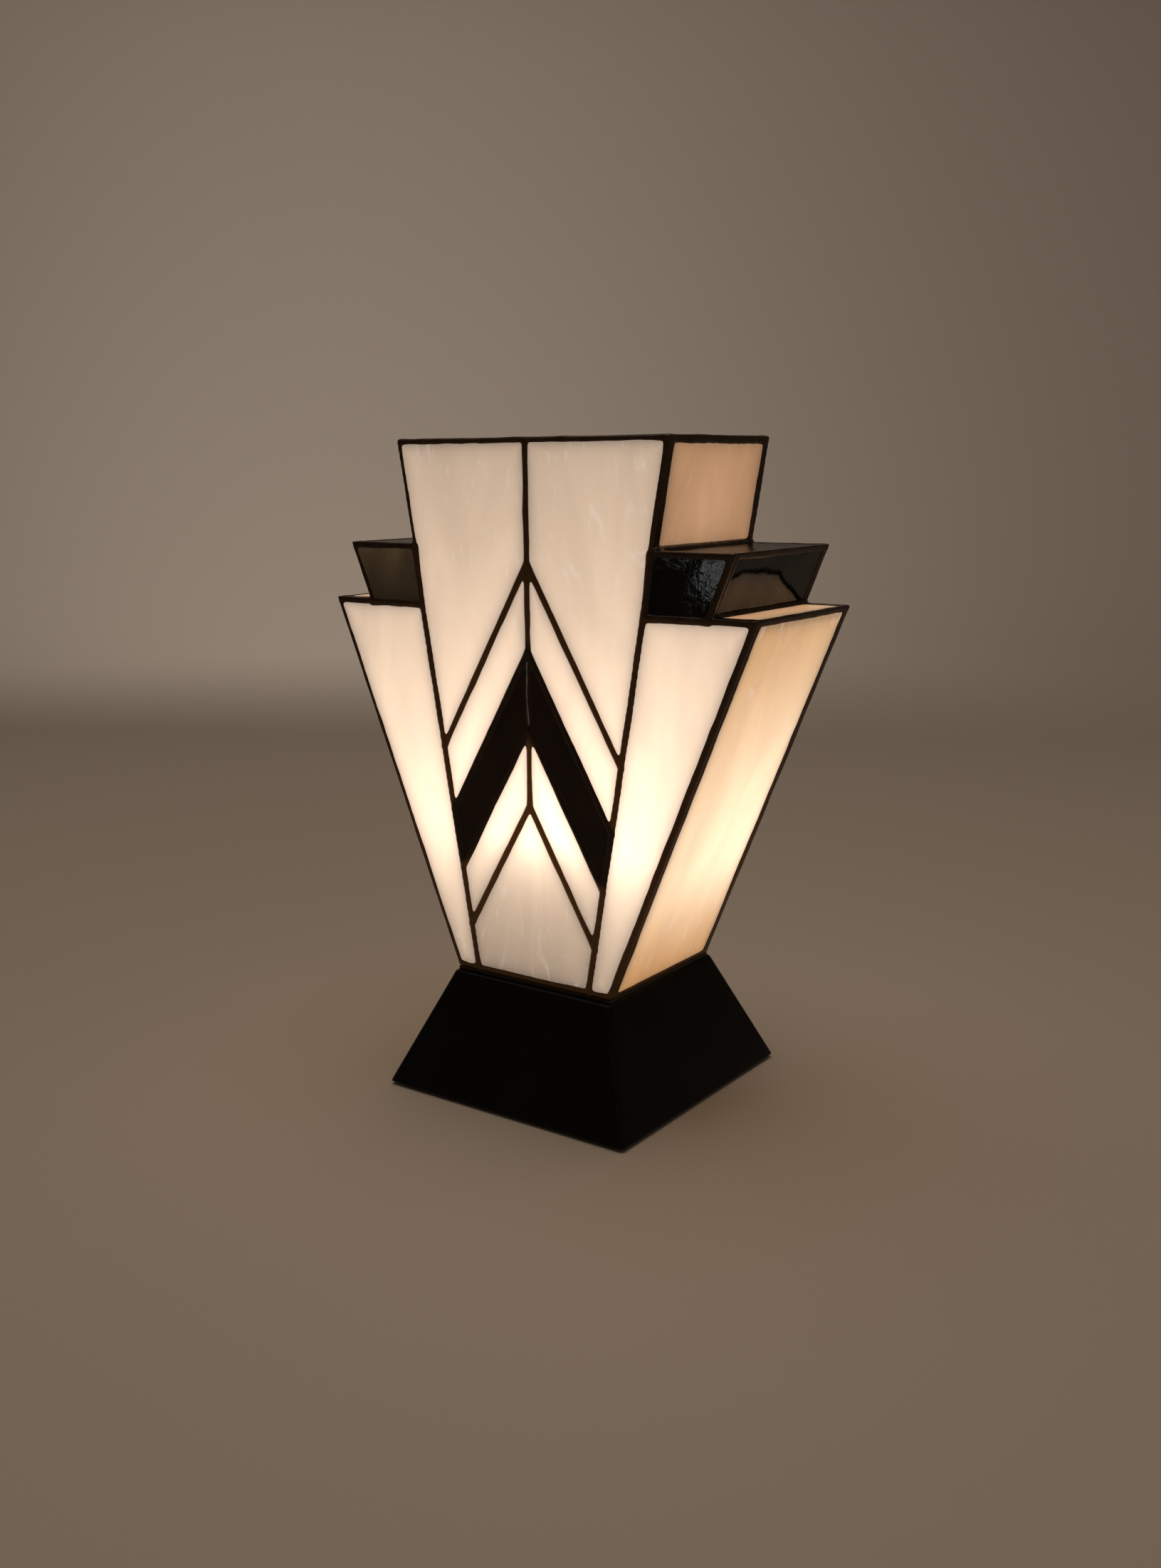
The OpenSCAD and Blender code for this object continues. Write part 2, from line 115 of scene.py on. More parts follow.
class NodeSheet:
    """A thin hand on a node tree: adds nodes, sets their sockets and joins them."""

    def __init__(self, tree: bpy.types.NodeTree) -> None:
        """Start on a material's or group's tree."""
        self.tree = tree

    def join(self, node: bpy.types.Node, values: dict) -> None:
        """Set or link a node's inputs.

        Args:
            node: The node.
            values: Socket name or index to a number, a colour or another node's output socket.
        """
        for key, value in values.items():
            if isinstance(value, Socket):
                self.tree.links.new(value, node.inputs[key])
            else:
                node.inputs[key].default_value = value

    def add(self, kind: str, values: dict | None = None, **settings) -> bpy.types.Node:
        """Add one node.

        Args:
            kind: The node's type name, without "ShaderNode" at its start.
            values: What join sets on its inputs.
            settings: Properties of the node itself, such as operation.

        Returns:
            The new node.
        """
        node = self.tree.nodes.new(kind if kind.startswith("NodeGroup") else f"ShaderNode{kind}")
        for name, value in settings.items():
            setattr(node, name, value)
        self.join(node, values or {})
        return node

    def math(self, operation: str, a, b=0.0) -> Socket:
        """The result of a Math node on two values or sockets."""
        return self.add("Math", {0: a, 1: b}, operation=operation).outputs[0]

    def vector(self, operation: str, a, b) -> Socket:
        """The result of a Vector Math node on two vectors or sockets."""
        return self.add("VectorMath", {0: a, 1: b}, operation=operation).outputs[0]

    def parts(self, vector: Socket) -> Sequence[Socket]:
        """A vector's three parts."""
        return self.add("SeparateXYZ", {0: vector}).outputs

    def spread(self, value: Socket, start: tuple, end: tuple = (0.0, 1.0), **settings) -> Socket:
        """Carry a value from one range to another.

        Args:
            value: The value's socket.
            start: The range that it comes in.
            end: The range that it goes to, past which it is held.
            settings: Properties of the node.

        Returns:
            The result's socket.
        """
        return self.add("MapRange", {
            "Value": value, "From Min": start[0], "From Max": start[1], "To Min": end[0],
            "To Max": end[1]}, **settings).outputs[0]

    def noise(self, place, scale, detail, **values: float) -> Socket:
        """A noise's value at a place, with its other inputs named as Blender does."""
        return self.add("TexNoise", {
            "Vector": place, "Scale": scale, "Detail": detail, **values}).outputs[0]

    def mix(self, factor, a, b, kind: str = "MIX") -> Socket:
        """Mix two colours.

        Args:
            factor: Share of the second colour.
            a: First colour or socket.
            b: Second colour or socket.
            kind: Blend type, such as MIX or MULTIPLY.

        Returns:
            The mixed colour's socket.
        """
        node = self.add("Mix", data_type="RGBA", blend_type=kind)
        ins = {s.identifier: i for i, s in enumerate(node.inputs)}
        values = {"Factor_Float": factor, "A_Color": a, "B_Color": b}
        self.join(node, {ins[name]: opaque(value) if isinstance(value, tuple) else value
                         for name, value in values.items()})
        return next(s for s in node.outputs if s.identifier == "Result_Color")

    def place(self) -> Socket:
        """The place on the piece, in the lamp's own frame."""
        return self.add("TexCoord").outputs["Object"]

    def attribute(self, name: str) -> Socket:
        """A number that the piece carries on its vertices."""
        return self.add("Attribute", attribute_name=name).outputs["Fac"]

    def bump(self, height: Socket, distance: float, strength: float, **values: Socket) -> Socket:
        """The normal of a height whose full step is a distance in metres."""
        return self.add("Bump", {
            "Height": height, "Distance": distance, "Strength": strength, **values}).outputs[0]

    def effect(self, tree: bpy.types.NodeTree, values: dict) -> Sequence[Socket]:
        """The outputs of a shared effect placed with its own values."""
        return self.add("Group", values, node_tree=tree).outputs

    def glow(self, centre: tuple, reach: tuple, reach_down: float, fall_off: float) -> Socket:
        """The bulb's glow about a centre, as bulb_glow gives it."""
        return self.effect(bulb_glow(), {
            "Position": self.place(), "Centre": centre, "Reach": reach, "Reach Down": reach_down,
            "Fall-off": fall_off})["Glow"]

    def streaks(self, across: float, along: float) -> Sequence[Socket]:
        """The streaks of a rolled sheet, in cells a metre each way."""
        cut = self.add("UVMap", uv_map="sheet").outputs[0]
        return self.effect(glass_streaks(), {"Sheet": cut, "Across": across, "Along": along})

    def mottle(self, scale: float, low: float = 0.0, high: float = 1.0, detail: float = 4.0):
        """An uneven surface's Value, between low and high, and its Height, at cells a metre."""
        return self.effect(surface_mottle(), {
            "Position": self.place(), "Scale": scale, "Detail": detail, "Low": low, "High": high})

    def grain(self, stretch: tuple, detail: float, **values: float) -> Socket:
        """A noise drawn out by a number of cells a metre each way."""
        drawn = self.add("Mapping", {"Vector": self.place(), "Scale": stretch}).outputs[0]
        return self.noise(drawn, 1.0, detail, **values)


def opaque(colour: Colour) -> tuple[float, float, float, float]:
    """A colour with full alpha."""
    return (*colour, 1.0)


def new_group(name: str, inputs: dict, outputs: Sequence[str]) -> tuple:
    """Make an empty node group.

    Args:
        name: The group's name.
        inputs: Each input's name, with its default value, or None where it is a vector.
        outputs: The names of its outputs, which are numbers.

    Returns:
        Its sheet, its inputs' sockets and its output node.
    """
    tree = bpy.data.node_groups.new(name, "ShaderNodeTree")
    for key, default in inputs.items():
        kind = "NodeSocketVector" if default is None else "NodeSocketFloat"
        socket = tree.interface.new_socket(key, in_out="INPUT", socket_type=kind)
        if default is not None:
            socket.default_value = default
    for key in outputs:
        tree.interface.new_socket(key, in_out="OUTPUT", socket_type="NodeSocketFloat")
    sheet = NodeSheet(tree)
    return sheet, sheet.add("NodeGroupInput").outputs, sheet.add("NodeGroupOutput")


@cache
def bulb_glow() -> bpy.types.NodeTree:
    """The effect of a bulb's light on the glass round it.

    With d the place less the bulb's centre, and each part of d divided by its own reach (one reach up,
    another down), the glow is 1 / (1 + |d|^2) raised to the fall-off: 1 at the centre, and falling.
    """
    sheet, given, out = new_group(
        "Bulb glow", {"Position": None, "Centre": None, "Reach": None, "Reach Down": 0.05,
                      "Fall-off": 1.0}, ["Glow"])
    away = sheet.vector("SUBTRACT", given["Position"], given["Centre"])
    scaled = sheet.parts(sheet.vector("DIVIDE", away, given["Reach"]))
    below = sheet.math("DIVIDE", sheet.parts(away)[2], given["Reach Down"])
    below = sheet.math("ABSOLUTE", sheet.math("MINIMUM", below, 0.0))
    total = sheet.math("POWER", scaled[0], 2.0)
    for part in (scaled[1], sheet.math("MAXIMUM", scaled[2], 0.0), below):
        total = sheet.math("ADD", total, sheet.math("POWER", part, 2.0))
    total = sheet.math("DIVIDE", 1.0, sheet.math("ADD", total, 1.0))
    sheet.join(out, {"Glow": sheet.math("POWER", total, given["Fall-off"])})
    return sheet.tree


@cache
def glass_streaks() -> bpy.types.NodeTree:
    """The effect of a rolled sheet: broad streaks, and wisps from the top of a finer noise."""
    sheet, given, out = new_group(
        "Glass streaks", {"Sheet": None, "Across": 60.0, "Along": 10.0}, ["Streak", "Wisp"])
    stretch = sheet.add("CombineXYZ", {0: given["Across"], 1: given["Along"]}).outputs[0]
    place = sheet.vector("MULTIPLY", given["Sheet"], stretch)
    fine = sheet.noise(place, 2.6, 6.0, Roughness=0.62, Distortion=2.2)
    sheet.join(out, {
        "Streak": sheet.noise(place, 1.0, 5.0, Roughness=0.55, Distortion=0.9),
        "Wisp": sheet.spread(fine, (0.54, 0.72), interpolation_type="SMOOTHSTEP")})
    return sheet.tree


@cache
def surface_mottle() -> bpy.types.NodeTree:
    """The effect of an uneven surface: a noise spread between Low and High, and its height."""
    sheet, given, out = new_group(
        "Surface mottle", {"Position": None, "Scale": 100.0, "Detail": 4.0, "Low": 0.3, "High": 0.5},
        ["Value", "Height"])
    noise = sheet.noise(given["Position"], given["Scale"], given["Detail"], Roughness=0.6)
    sheet.join(out, {
        "Value": sheet.spread(noise, (0.3, 0.7), (given["Low"], given["High"])), "Height": noise})
    return sheet.tree


# --- Finishes ---


@dataclass(frozen=True)
class Finish:
    """What every finish has: a name, and a material made from it once."""

    name: str

    def material(self) -> bpy.types.Material:
        """The finish's material, built the first time that it is asked for."""
        label = f"finish_{self.name}"
        made = bpy.data.materials.get(label)
        if made is None:
            made = bpy.data.materials.new(label)
            made.use_nodes = True
            made.node_tree.nodes.clear()
            sheet = NodeSheet(made.node_tree)
            shader = sheet.add("BsdfPrincipled", self.sockets(sheet))
            sheet.add("OutputMaterial", {0: shader.outputs[0]})
        return made

    def sockets(self, sheet: NodeSheet) -> dict:
        """Draw the finish's patterns.

        Args:
            sheet: The material's node tree.

        Returns:
            What each socket of the Principled BSDF is set to or fed by.
        """
        raise NotImplementedError


@dataclass(frozen=True)
class LitOpalGlass(Finish):
    """Streaky white opal glass with the bulb's light coming through it.

    The light is floor + gain x glow. Streaks and wisps vary it, and painted shade of the leading makes
    it dimmer and greyer beside the leading by exp(-distance / shade width).
    """

    floor: Colour
    gain: Colour
    centre: tuple[float, float, float]
    reach: tuple[float, float, float]
    reach_down: float
    fall_off: float = 1.0
    body: Colour = (0.55, 0.51, 0.45)
    wisp_colour: Colour = (0.80, 0.78, 0.76)
    streak_depth: float = 0.17
    wisp: float = 0.16
    leading_shade_kept: Colour = (0.52, 0.54, 0.58)
    leading_shade_width: float = 2.8 * MM

    def turned(self) -> "LitOpalGlass":
        """The same glass for the opposite side of the lamp, half a turn about Z away."""
        x, y, z = self.centre
        return replace(self, name=f"{self.name}_turned", centre=(-x, -y, z))

    def sockets(self, sheet: NodeSheet) -> dict:
        """Light, streaks, edge shade and a faint ripple."""
        glow = sheet.glow(self.centre, self.reach, self.reach_down, self.fall_off)
        light = sheet.mix(glow, self.floor, tuple(f + g for f, g in zip(self.floor, self.gain)))
        streaks = sheet.streaks(38.0, 12.0)
        half = self.streak_depth / 2
        level = sheet.spread(streaks["Streak"], (0.3, 0.7), (1 - half, 1 + half))
        grey = sheet.add("CombineColor", dict.fromkeys(range(3), level)).outputs[0]
        light = sheet.mix(1.0, light, grey, "MULTIPLY")
        # painted shade of the leading: the light falls away and turns greyer towards it
        near = sheet.math("DIVIDE", sheet.attribute("edge"), -self.leading_shade_width)
        light = sheet.mix(sheet.math("EXPONENT", near), light, self.leading_shade_kept, "MULTIPLY")
        wisps = sheet.math("MULTIPLY", streaks["Wisp"], self.wisp)
        return {"Base Color": opaque(self.body), "Roughness": 0.24, "IOR": 1.5,
                "Emission Color": sheet.mix(wisps, light, self.wisp_colour), "Emission Strength": 1.0,
                "Normal": sheet.bump(streaks["Streak"], 0.25 * MM, 0.5)}


@dataclass(frozen=True)
class BlackGlass(Finish):
    """Glossy black art glass with a hammered, slightly wavy face.

    It is nearly opaque. Where a through colour is given, the bulb's light coming through it is painted
    in as a faint brown glow, more of it where the streaks are thin and towards the top of the tier.
    """

    colour: Colour = (0.0030, 0.0036, 0.0036)
    wisp: Colour = (0.005, 0.0062, 0.0062)
    through: Colour = (0.0, 0.0, 0.0)
    gloss: float = 0.22
    rough: tuple[float, float] = (0.02, 0.07)

    def sockets(self, sheet: NodeSheet) -> dict:
        """Deep colour, streaks of a lighter black, the light through it and a rippled gloss."""
        streaks = sheet.streaks(40.0, 16.0)
        rough = sheet.mottle(330.0, *self.rough, 5.0)
        broad = sheet.bump(streaks["Streak"], 0.12 * MM, 0.6)
        values = {"Base Color": sheet.mix(streaks["Wisp"], self.colour, self.wisp),
                  "Roughness": rough["Value"], "IOR": 1.52, "Specular IOR Level": self.gloss,
                  "Normal": sheet.bump(rough["Height"], 0.055 * MM, 0.6, Normal=broad)}
        # painted light: the bulb's light through the glass, as a glow growing towards the top of the
        # tier
        if any(self.through):
            low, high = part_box("front_tier_left")
            up = sheet.spread(sheet.parts(sheet.place())[2], (low.z - 2 * MM, high.z), (0.25, 1.0))
            level = sheet.math("MULTIPLY", up, sheet.math("MULTIPLY", streaks["Streak"], 2.0))
            values["Emission Color"] = sheet.mix(level, (0.0, 0.0, 0.0), self.through)
            values["Emission Strength"] = 1.0
        return values


@dataclass(frozen=True)
class Solder(Finish):
    """Hand-run solder under a dark brown patina, shinier where it was rubbed."""

    dark: Colour = (0.010, 0.0036, 0.0014)
    light: Colour = (0.040, 0.018, 0.006)
    glare: Colour = (0.082, 0.028, 0.005)
    metal: float = 0.25
    rough: tuple[float, float] = (0.20, 0.42)

    def sockets(self, sheet: NodeSheet) -> dict:
        """Blotchy colour and gloss, small lumps, and the brown glare of the lit glass beside it.

        The glare is the bulb's glow times the attribute "lit", which is 0 beside black glass.
        """
        glow = sheet.glow((0.0, 0.0, 126 * MM), (60 * MM, 60 * MM, 90 * MM), 60 * MM, 1.8)
        share = sheet.math("MULTIPLY", glow, sheet.attribute("lit"))
        blotch = sheet.mottle(170.0, detail=5.0)["Value"]
        rough = sheet.mottle(420.0, *self.rough)
        return {"Base Color": sheet.mix(blotch, self.dark, self.light), "Metallic": self.metal,
                "Roughness": rough["Value"], "Emission Strength": 1.0,
                "Emission Color": sheet.mix(share, (0.0, 0.0, 0.0), self.glare),
                "Normal": sheet.bump(rough["Height"], 0.12 * MM, 0.6)}


@dataclass(frozen=True)
class SatinPaint(Finish):
    """Satin black paint on fine wood: faint grain under it, soft wear, a rolled texture."""

    colour: Colour = (0.0012, 0.0013, 0.0014)
    worn: Colour = (0.0030, 0.0031, 0.0033)

    def sockets(self, sheet: NodeSheet) -> dict:
        """Blotchy colour and sheen, and a bump of the grain and the roller's tooth."""
        grain = sheet.grain((18.0, 18.0, 420.0), 5.0, Roughness=0.6)
        height = sheet.math("ADD", grain, sheet.mottle(900.0)["Height"])
        blotch = sheet.mottle(26.0, detail=5.0)["Value"]
        return {"Base Color": sheet.mix(blotch, self.colour, self.worn),
                "Roughness": sheet.mottle(60.0, 0.34, 0.50)["Value"], "Specular IOR Level": 0.16,
                "Normal": sheet.bump(height, 0.06 * MM, 0.45)}


@dataclass(frozen=True)
class Grained(Finish):
    """Bare wood or board: two browns along a stretched grain."""

    dark: Colour
    light: Colour
    stretch: tuple[float, float, float] = (30.0, 300.0, 300.0)

    def sockets(self, sheet: NodeSheet) -> dict:
        """Grain colour and bump."""
        grain = sheet.grain(self.stretch, 6.0, Distortion=0.4)
        return {"Base Color": sheet.mix(grain, self.dark, self.light), "Roughness": 0.62,
                "Normal": sheet.bump(grain, 0.1 * MM, 0.4)}


@dataclass(frozen=True)
class Metal(Finish):
    """A plain metal with a blotchy polish and light tarnish."""

    colour: Colour
    rough: float = 0.3

    def sockets(self, sheet: NodeSheet) -> dict:
        """Full metal with uneven roughness and colour."""
        polish = sheet.mottle(240.0, self.rough - 0.06, self.rough + 0.06)
        dull = tuple(0.72 * c for c in self.colour)
        return {"Base Color": sheet.mix(sheet.mottle(90.0)["Value"], self.colour, dull),
                "Roughness": polish["Value"], "Metallic": 1.0,
                "Normal": sheet.bump(polish["Height"], 0.03 * MM, 0.4)}


@dataclass(frozen=True)
class Moulded(Finish):
    """Moulded plastic, rubber or felt: one colour family, an uneven sheen and a fine tooth."""

    colour: Colour
    rough: float = 0.35
    tooth: float = 0.03 * MM
    scale: float = 700.0

    def sockets(self, sheet: NodeSheet) -> dict:
        """Colour swirl, roughness and bump."""
        lighter = tuple(min(1.0, 1.35 * c + 0.004) for c in self.colour)
        fine = sheet.mottle(self.scale, self.rough - 0.05, self.rough + 0.06)
        return {"Base Color": sheet.mix(sheet.mottle(120.0)["Value"], self.colour, lighter),
                "Roughness": fine["Value"], "Normal": sheet.bump(fine["Height"], self.tooth, 0.5)}


@dataclass(frozen=True)
class LitBulb(Finish):
    """Opal bulb glass, bright all over and a little dimmer at its neck."""

    bright: Colour = (3.2, 2.7, 1.9)
    neck: Colour = (1.3, 0.95, 0.55)
    body: Colour = (0.86, 0.85, 0.82)

    def sockets(self, sheet: NodeSheet) -> dict:
        """Light by height over the neck, with a faint unevenness of the coating."""
        low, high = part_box("bulb_glass")
        up = sheet.spread(sheet.parts(sheet.place())[2], (low.z, (low.z + high.z) / 2))
        level = sheet.math("MULTIPLY", up, sheet.mottle(60.0, 0.92)["Value"])
        return {"Base Color": opaque(self.body), "Roughness": 0.3,
                "Emission Color": sheet.mix(level, self.neck, self.bright), "Emission Strength": 1.0}


PANEL_GLASS = LitOpalGlass(
    "white_glass_panels", floor=(0.0, 0.0, 0.0), gain=(1.90, 1.40, 1.01),
    centre=(13 * MM, 0.0, 126 * MM), reach=(68 * MM, 10.0, 42.6 * MM), reach_down=10.4 * MM,
    fall_off=0.47)
GLASS_FINISH = {
    Glass.PANEL_WHITE: PANEL_GLASS,
    Glass.WING_WHITE: replace(PANEL_GLASS, name="white_glass_wings", reach_down=16 * MM),
    Glass.SIDE_WHITE: LitOpalGlass(
        "white_glass_sides", floor=(0.372, 0.137, 0.004), gain=(0.946, 0.827, 0.64),
        centre=(0.0, 40 * MM, 117 * MM), reach=(10.0, 170 * MM, 129 * MM), reach_down=54.5 * MM,
        fall_off=2.52),
    Glass.STEP_WHITE: LitOpalGlass(
        "white_glass_steps", floor=(0.43, 0.23, 0.112), gain=(0.10, 0.06, 0.03),
        centre=(0.0, 0.0, 200 * MM), reach=(10.0, 60 * MM, 60 * MM), reach_down=60 * MM),
    Glass.CROWN_SIDE_WHITE: LitOpalGlass(
        "white_glass_crown_sides", floor=(0.30, 0.145, 0.062), gain=(0.19, 0.118, 0.075),
        centre=(0.0, -2 * MM, 270 * MM), reach=(10.0, 32 * MM, 32 * MM), reach_down=40 * MM,
        wisp=0.05, leading_shade_width=3.4 * MM),
    Glass.BLACK: BlackGlass("black_glass"),
    Glass.CHEVRON_BLACK: BlackGlass("chevron_black_glass", through=(0.010, 0.0028, 0.0002)),
    Glass.STEP_BLACK: BlackGlass("step_black_glass", gloss=0.03, rough=(0.18, 0.30)),
    # the left tiers' black glass, with more painted light coming through it
    Glass.BACKLIT_BLACK: BlackGlass("backlit_black_glass", through=(0.052, 0.032, 0.016)),
}
SOLDER = Solder("patina_solder")
# painted glint: light grey metal that stands in for light caught along the chevron's solder ridge
PAINTED_GLINT_SOLDER = Solder("painted_glint_solder", dark=(0.20, 0.20, 0.19), light=(0.60, 0.60, 0.58),
                       metal=0.8, rough=(0.24, 0.34))
BLACK_PAINT = SatinPaint("satin_black_paint")
BARE_WOOD = Grained("bare_wood", dark=(0.30, 0.18, 0.09), light=(0.55, 0.38, 0.21))
HARDBOARD = Grained("hardboard", dark=(0.10, 0.06, 0.035), light=(0.17, 0.11, 0.065),
                    stretch=(500.0, 500.0, 500.0))
PLATE_METAL = Metal("dark_plate", colour=(0.055, 0.050, 0.030), rough=0.42)
BRASS = Metal("brass", colour=(0.78, 0.56, 0.23), rough=0.26)
SCREW_BRASS = Metal("screw_brass", colour=(0.72, 0.52, 0.24), rough=0.34)
NUT_STEEL = Metal("nut_steel", colour=(0.55, 0.55, 0.54), rough=0.36)
CAP_METAL = Metal("cap_metal", colour=(0.74, 0.73, 0.70), rough=0.24)
BAKELITE = Moulded("bakelite", colour=(0.020, 0.013, 0.010), rough=0.24)
INSULATOR = Moulded("bulb_insulator", colour=(0.02, 0.02, 0.024), rough=0.18)
RUBBER = Moulded("grommet_rubber", colour=(0.016, 0.016, 0.016), rough=0.62, tooth=0.08 * MM)
FELT = Moulded("felt", colour=(0.035, 0.10, 0.06), rough=0.90, tooth=0.35 * MM, scale=1800.0)
BULB_GLASS = LitBulb("bulb_opal")


# --- Meshes and pieces ---


@dataclass
class Surface:
    """Vertices and faces of one or more closed shells, with values on the vertices."""

    points: np.ndarray
    faces: list
    sheet: np.ndarray | None = None
    edge: np.ndarray | None = None

    @staticmethod
    def joined(parts: Sequence["Surface"]) -> "Surface":
        """Several surfaces as one, with their faces renumbered."""
        starts = np.cumsum([0, *(len(part.points) for part in parts)])
        faces = [tuple(int(i) + int(start) for i in face)
                 for part, start in zip(parts, starts) for face in part.faces]
        return Surface(np.concatenate([part.points for part in parts]), faces)

    def merged(self, gap: float = 1e-7) -> "Surface":
        """The same surface with points that coincide joined, and faces that vanish dropped."""
        keys = np.round(self.points / gap).astype(np.int64)
        _, first, index = np.unique(keys, axis=0, return_index=True, return_inverse=True)
        index = index.ravel().tolist()
        faces = []
        for face in self.faces:
            corners = [index[i] for i in face]
            kept = [c for k, c in enumerate(corners) if c != corners[k - 1]]
            if len(set(kept)) > 2:
                faces.append(tuple(kept))
        return Surface(self.points[first], faces)

    def mesh(self, name: str) -> bpy.types.Mesh:
        """The surface as a mesh, smooth shaded."""
        mesh = bpy.data.meshes.new(name)
        mesh.from_pydata(self.points.tolist(), [], [tuple(face) for face in self.faces])
        mesh.shade_smooth()
        return mesh


def read_mesh(items: bpy.types.bpy_prop_collection, key: str, width: int, kind: type) -> np.ndarray:
    """A value of a mesh's vertices or loops, one row for each."""
    values = np.zeros(width * len(items), kind)
    items.foreach_get(key, values)
    return values.reshape(-1, width)


def link(name: str, data: bpy.types.ID) -> bpy.types.Object:
    """A new object in the scene, at the origin."""
    made = bpy.data.objects.new(name, data)
    bpy.context.scene.collection.objects.link(made)
    return made


def applied(piece: bpy.types.Object) -> bpy.types.Mesh:
    """A piece's mesh with its modifiers worked out."""
    graph = bpy.context.evaluated_depsgraph_get()
    return bpy.data.meshes.new_from_object(piece.evaluated_get(graph))


def pose(right: np.ndarray, up: np.ndarray, back: np.ndarray, place: np.ndarray) -> Matrix:
    """The matrix of an object with these three axes at a place."""
    matrix = np.eye(4)
    matrix[:3] = np.stack([right, up, back, place], axis=-1)
    return Matrix(matrix.tolist())


def grid_faces(rows: int, columns: int, wrap: bool = False, start: int = 0) -> np.ndarray:
    """Quads of a grid of points that are numbered row by row.

    Args:
        rows: Points down the grid.
        columns: Points across it.
        wrap: Whether the last column joins the first.
        start: Number of the first point.

    Returns:
        An array of quads, four numbers each.
    """
    across = np.arange(columns if wrap else columns - 1)[None, :]
    down = np.arange(rows - 1)[:, None] * columns
    a, b = down + across, down + (across + 1) % columns
    return np.stack([a, b, b + columns, a + columns], axis=-1).reshape(-1, 4) + start


def make_piece(name: str, surface: Surface, finish: Finish, node: str,
               body: str = LAMP_BODY, sharp: float = 40.0) -> bpy.types.Object:
    """Put a surface into the scene as one piece that rides on a body.

    Args:
        name: The piece's name.
        surface: Its points and faces, in the lamp's frame.
        finish: What it is finished in.
        node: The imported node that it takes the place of.
        body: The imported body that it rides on.
        sharp: Angle in degrees above which an edge shades sharp.

    Returns:
        The new object.
    """
    mesh = surface.mesh(name)
    if surface.sheet is not None:
        corners = read_mesh(mesh.loops, "vertex_index", 1, np.int32).ravel()
        uv = mesh.uv_layers.new(name="sheet")
        uv.data.foreach_set("uv", surface.sheet[corners].astype(np.float32).ravel())
    if surface.edge is not None:
        mark(mesh, "edge", surface.edge)
    mesh.validate()
    mesh.set_sharp_from_angle(angle=math.radians(sharp))
    piece = link(name, mesh)
    finish_piece(piece, finish, node, body)
    return piece


def mark(mesh: bpy.types.Mesh, name: str, values: np.ndarray) -> None:
    """Put a number on each vertex."""
    mesh.attributes.new(name, "FLOAT", "POINT").data.foreach_set("value", values.astype(np.float32))


def finish_piece(piece: bpy.types.Object, finish: Finish, node: str, body: str) -> None:
    """Dress a piece, join it to its body and report it; the arguments are as for make_piece."""
    piece.data.materials.clear()
    piece.data.materials.append(finish.material())
    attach(piece, body)
    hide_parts(node)
    LOG.info("%s: %d faces, %s, on %s", piece.name, len(piece.data.polygons), finish.name, body)


def dress_nodes(finishes: dict[str, Finish]) -> None:
    """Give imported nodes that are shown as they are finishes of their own."""
    for node, finish in finishes.items():
        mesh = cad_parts[node].data
        mesh.materials.clear()
        mesh.materials.append(finish.material())
        LOG.info("%s: packed node, %s", node, finish.name)


def packed_surface(node: str) -> Surface:
    """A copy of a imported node's solid, with its loose triangles joined."""
    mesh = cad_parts[node].data
    points = read_mesh(mesh.vertices, "co", 3, np.float32).astype(float)
    corners = read_mesh(mesh.loops, "vertex_index", 1, np.int32)
    return Surface(points, corners.reshape(-1, 3).tolist()).merged()


def rounded(points: Sequence[tuple[float, float]], radius: float, closed: bool = True) -> np.ndarray:
    """An outline with its corners rounded.

    Each corner is replaced by a quadratic curve that leaves one side at the radius (or two fifths of the
    side, if that is less) and joins the next side at the same distance, with the corner as its control.

    Args:
        points: The outline's corners.
        radius: Distance from each corner at which the rounding starts.
        closed: Whether the last corner joins the first.

    Returns:
        The rounded outline's points.
    """
    corners = np.asarray(points, float)
    t = np.linspace(0, 1, 5)[:, None]
    result = []
    for i, here in enumerate(corners):
        if not closed and i in (0, len(corners) - 1):
            result.append(corners[i:i + 1])
            continue
        ways = (corners[i - 1] - here, corners[(i + 1) % len(corners)] - here)
        start, end = (here + way * min(radius / np.linalg.norm(way), 0.4) for way in ways)
        result.append((1 - t) ** 2 * start + 2 * t * (1 - t) * here + t ** 2 * end)
    return np.concatenate(result)


def lathe(profile: np.ndarray, segments: int = 64, ripple: Callable | None = None) -> Surface:
    """A closed outline of radius and height turned round the Z axis.

    A point (r, z) of the outline becomes (r cos a, r sin a, z) for each angle a. A ripple, if given,
    adds to r a length worked out from r, z and a.

    Args:
        profile: The outline, counter-clockwise with the radius to the right and the height up.
        segments: Points round the axis.
        ripple: A function of radius, height and angle arrays that gives what is added to the radius.

    Returns:
        The closed surface.
    """
    angle = np.linspace(0, 2 * math.pi, segments, endpoint=False)
    r, a = np.meshgrid(profile[:, 0], angle, indexing="ij")
    z = np.repeat(profile[:, 1:], segments, axis=1)
    if ripple is not None:
        r = r + ripple(r, z, a)
    points = np.stack([r * np.cos(a), r * np.sin(a), z], axis=-1).reshape(-1, 3)
    ring = np.arange(len(points)).reshape(-1, segments)
    ahead = np.roll(ring, -1, axis=0)
    quads = np.stack([ring, np.roll(ring, -1, axis=1), np.roll(ahead, -1, axis=1), ahead], axis=-1)
    return Surface(points, quads.reshape(-1, 4).tolist()).merged()


def screw_wave(turns: np.ndarray) -> np.ndarray:
    """A wave between 0 and 1: 0.5 less half the cosine of an angle."""
    return 0.5 - 0.5 * np.cos(turns)


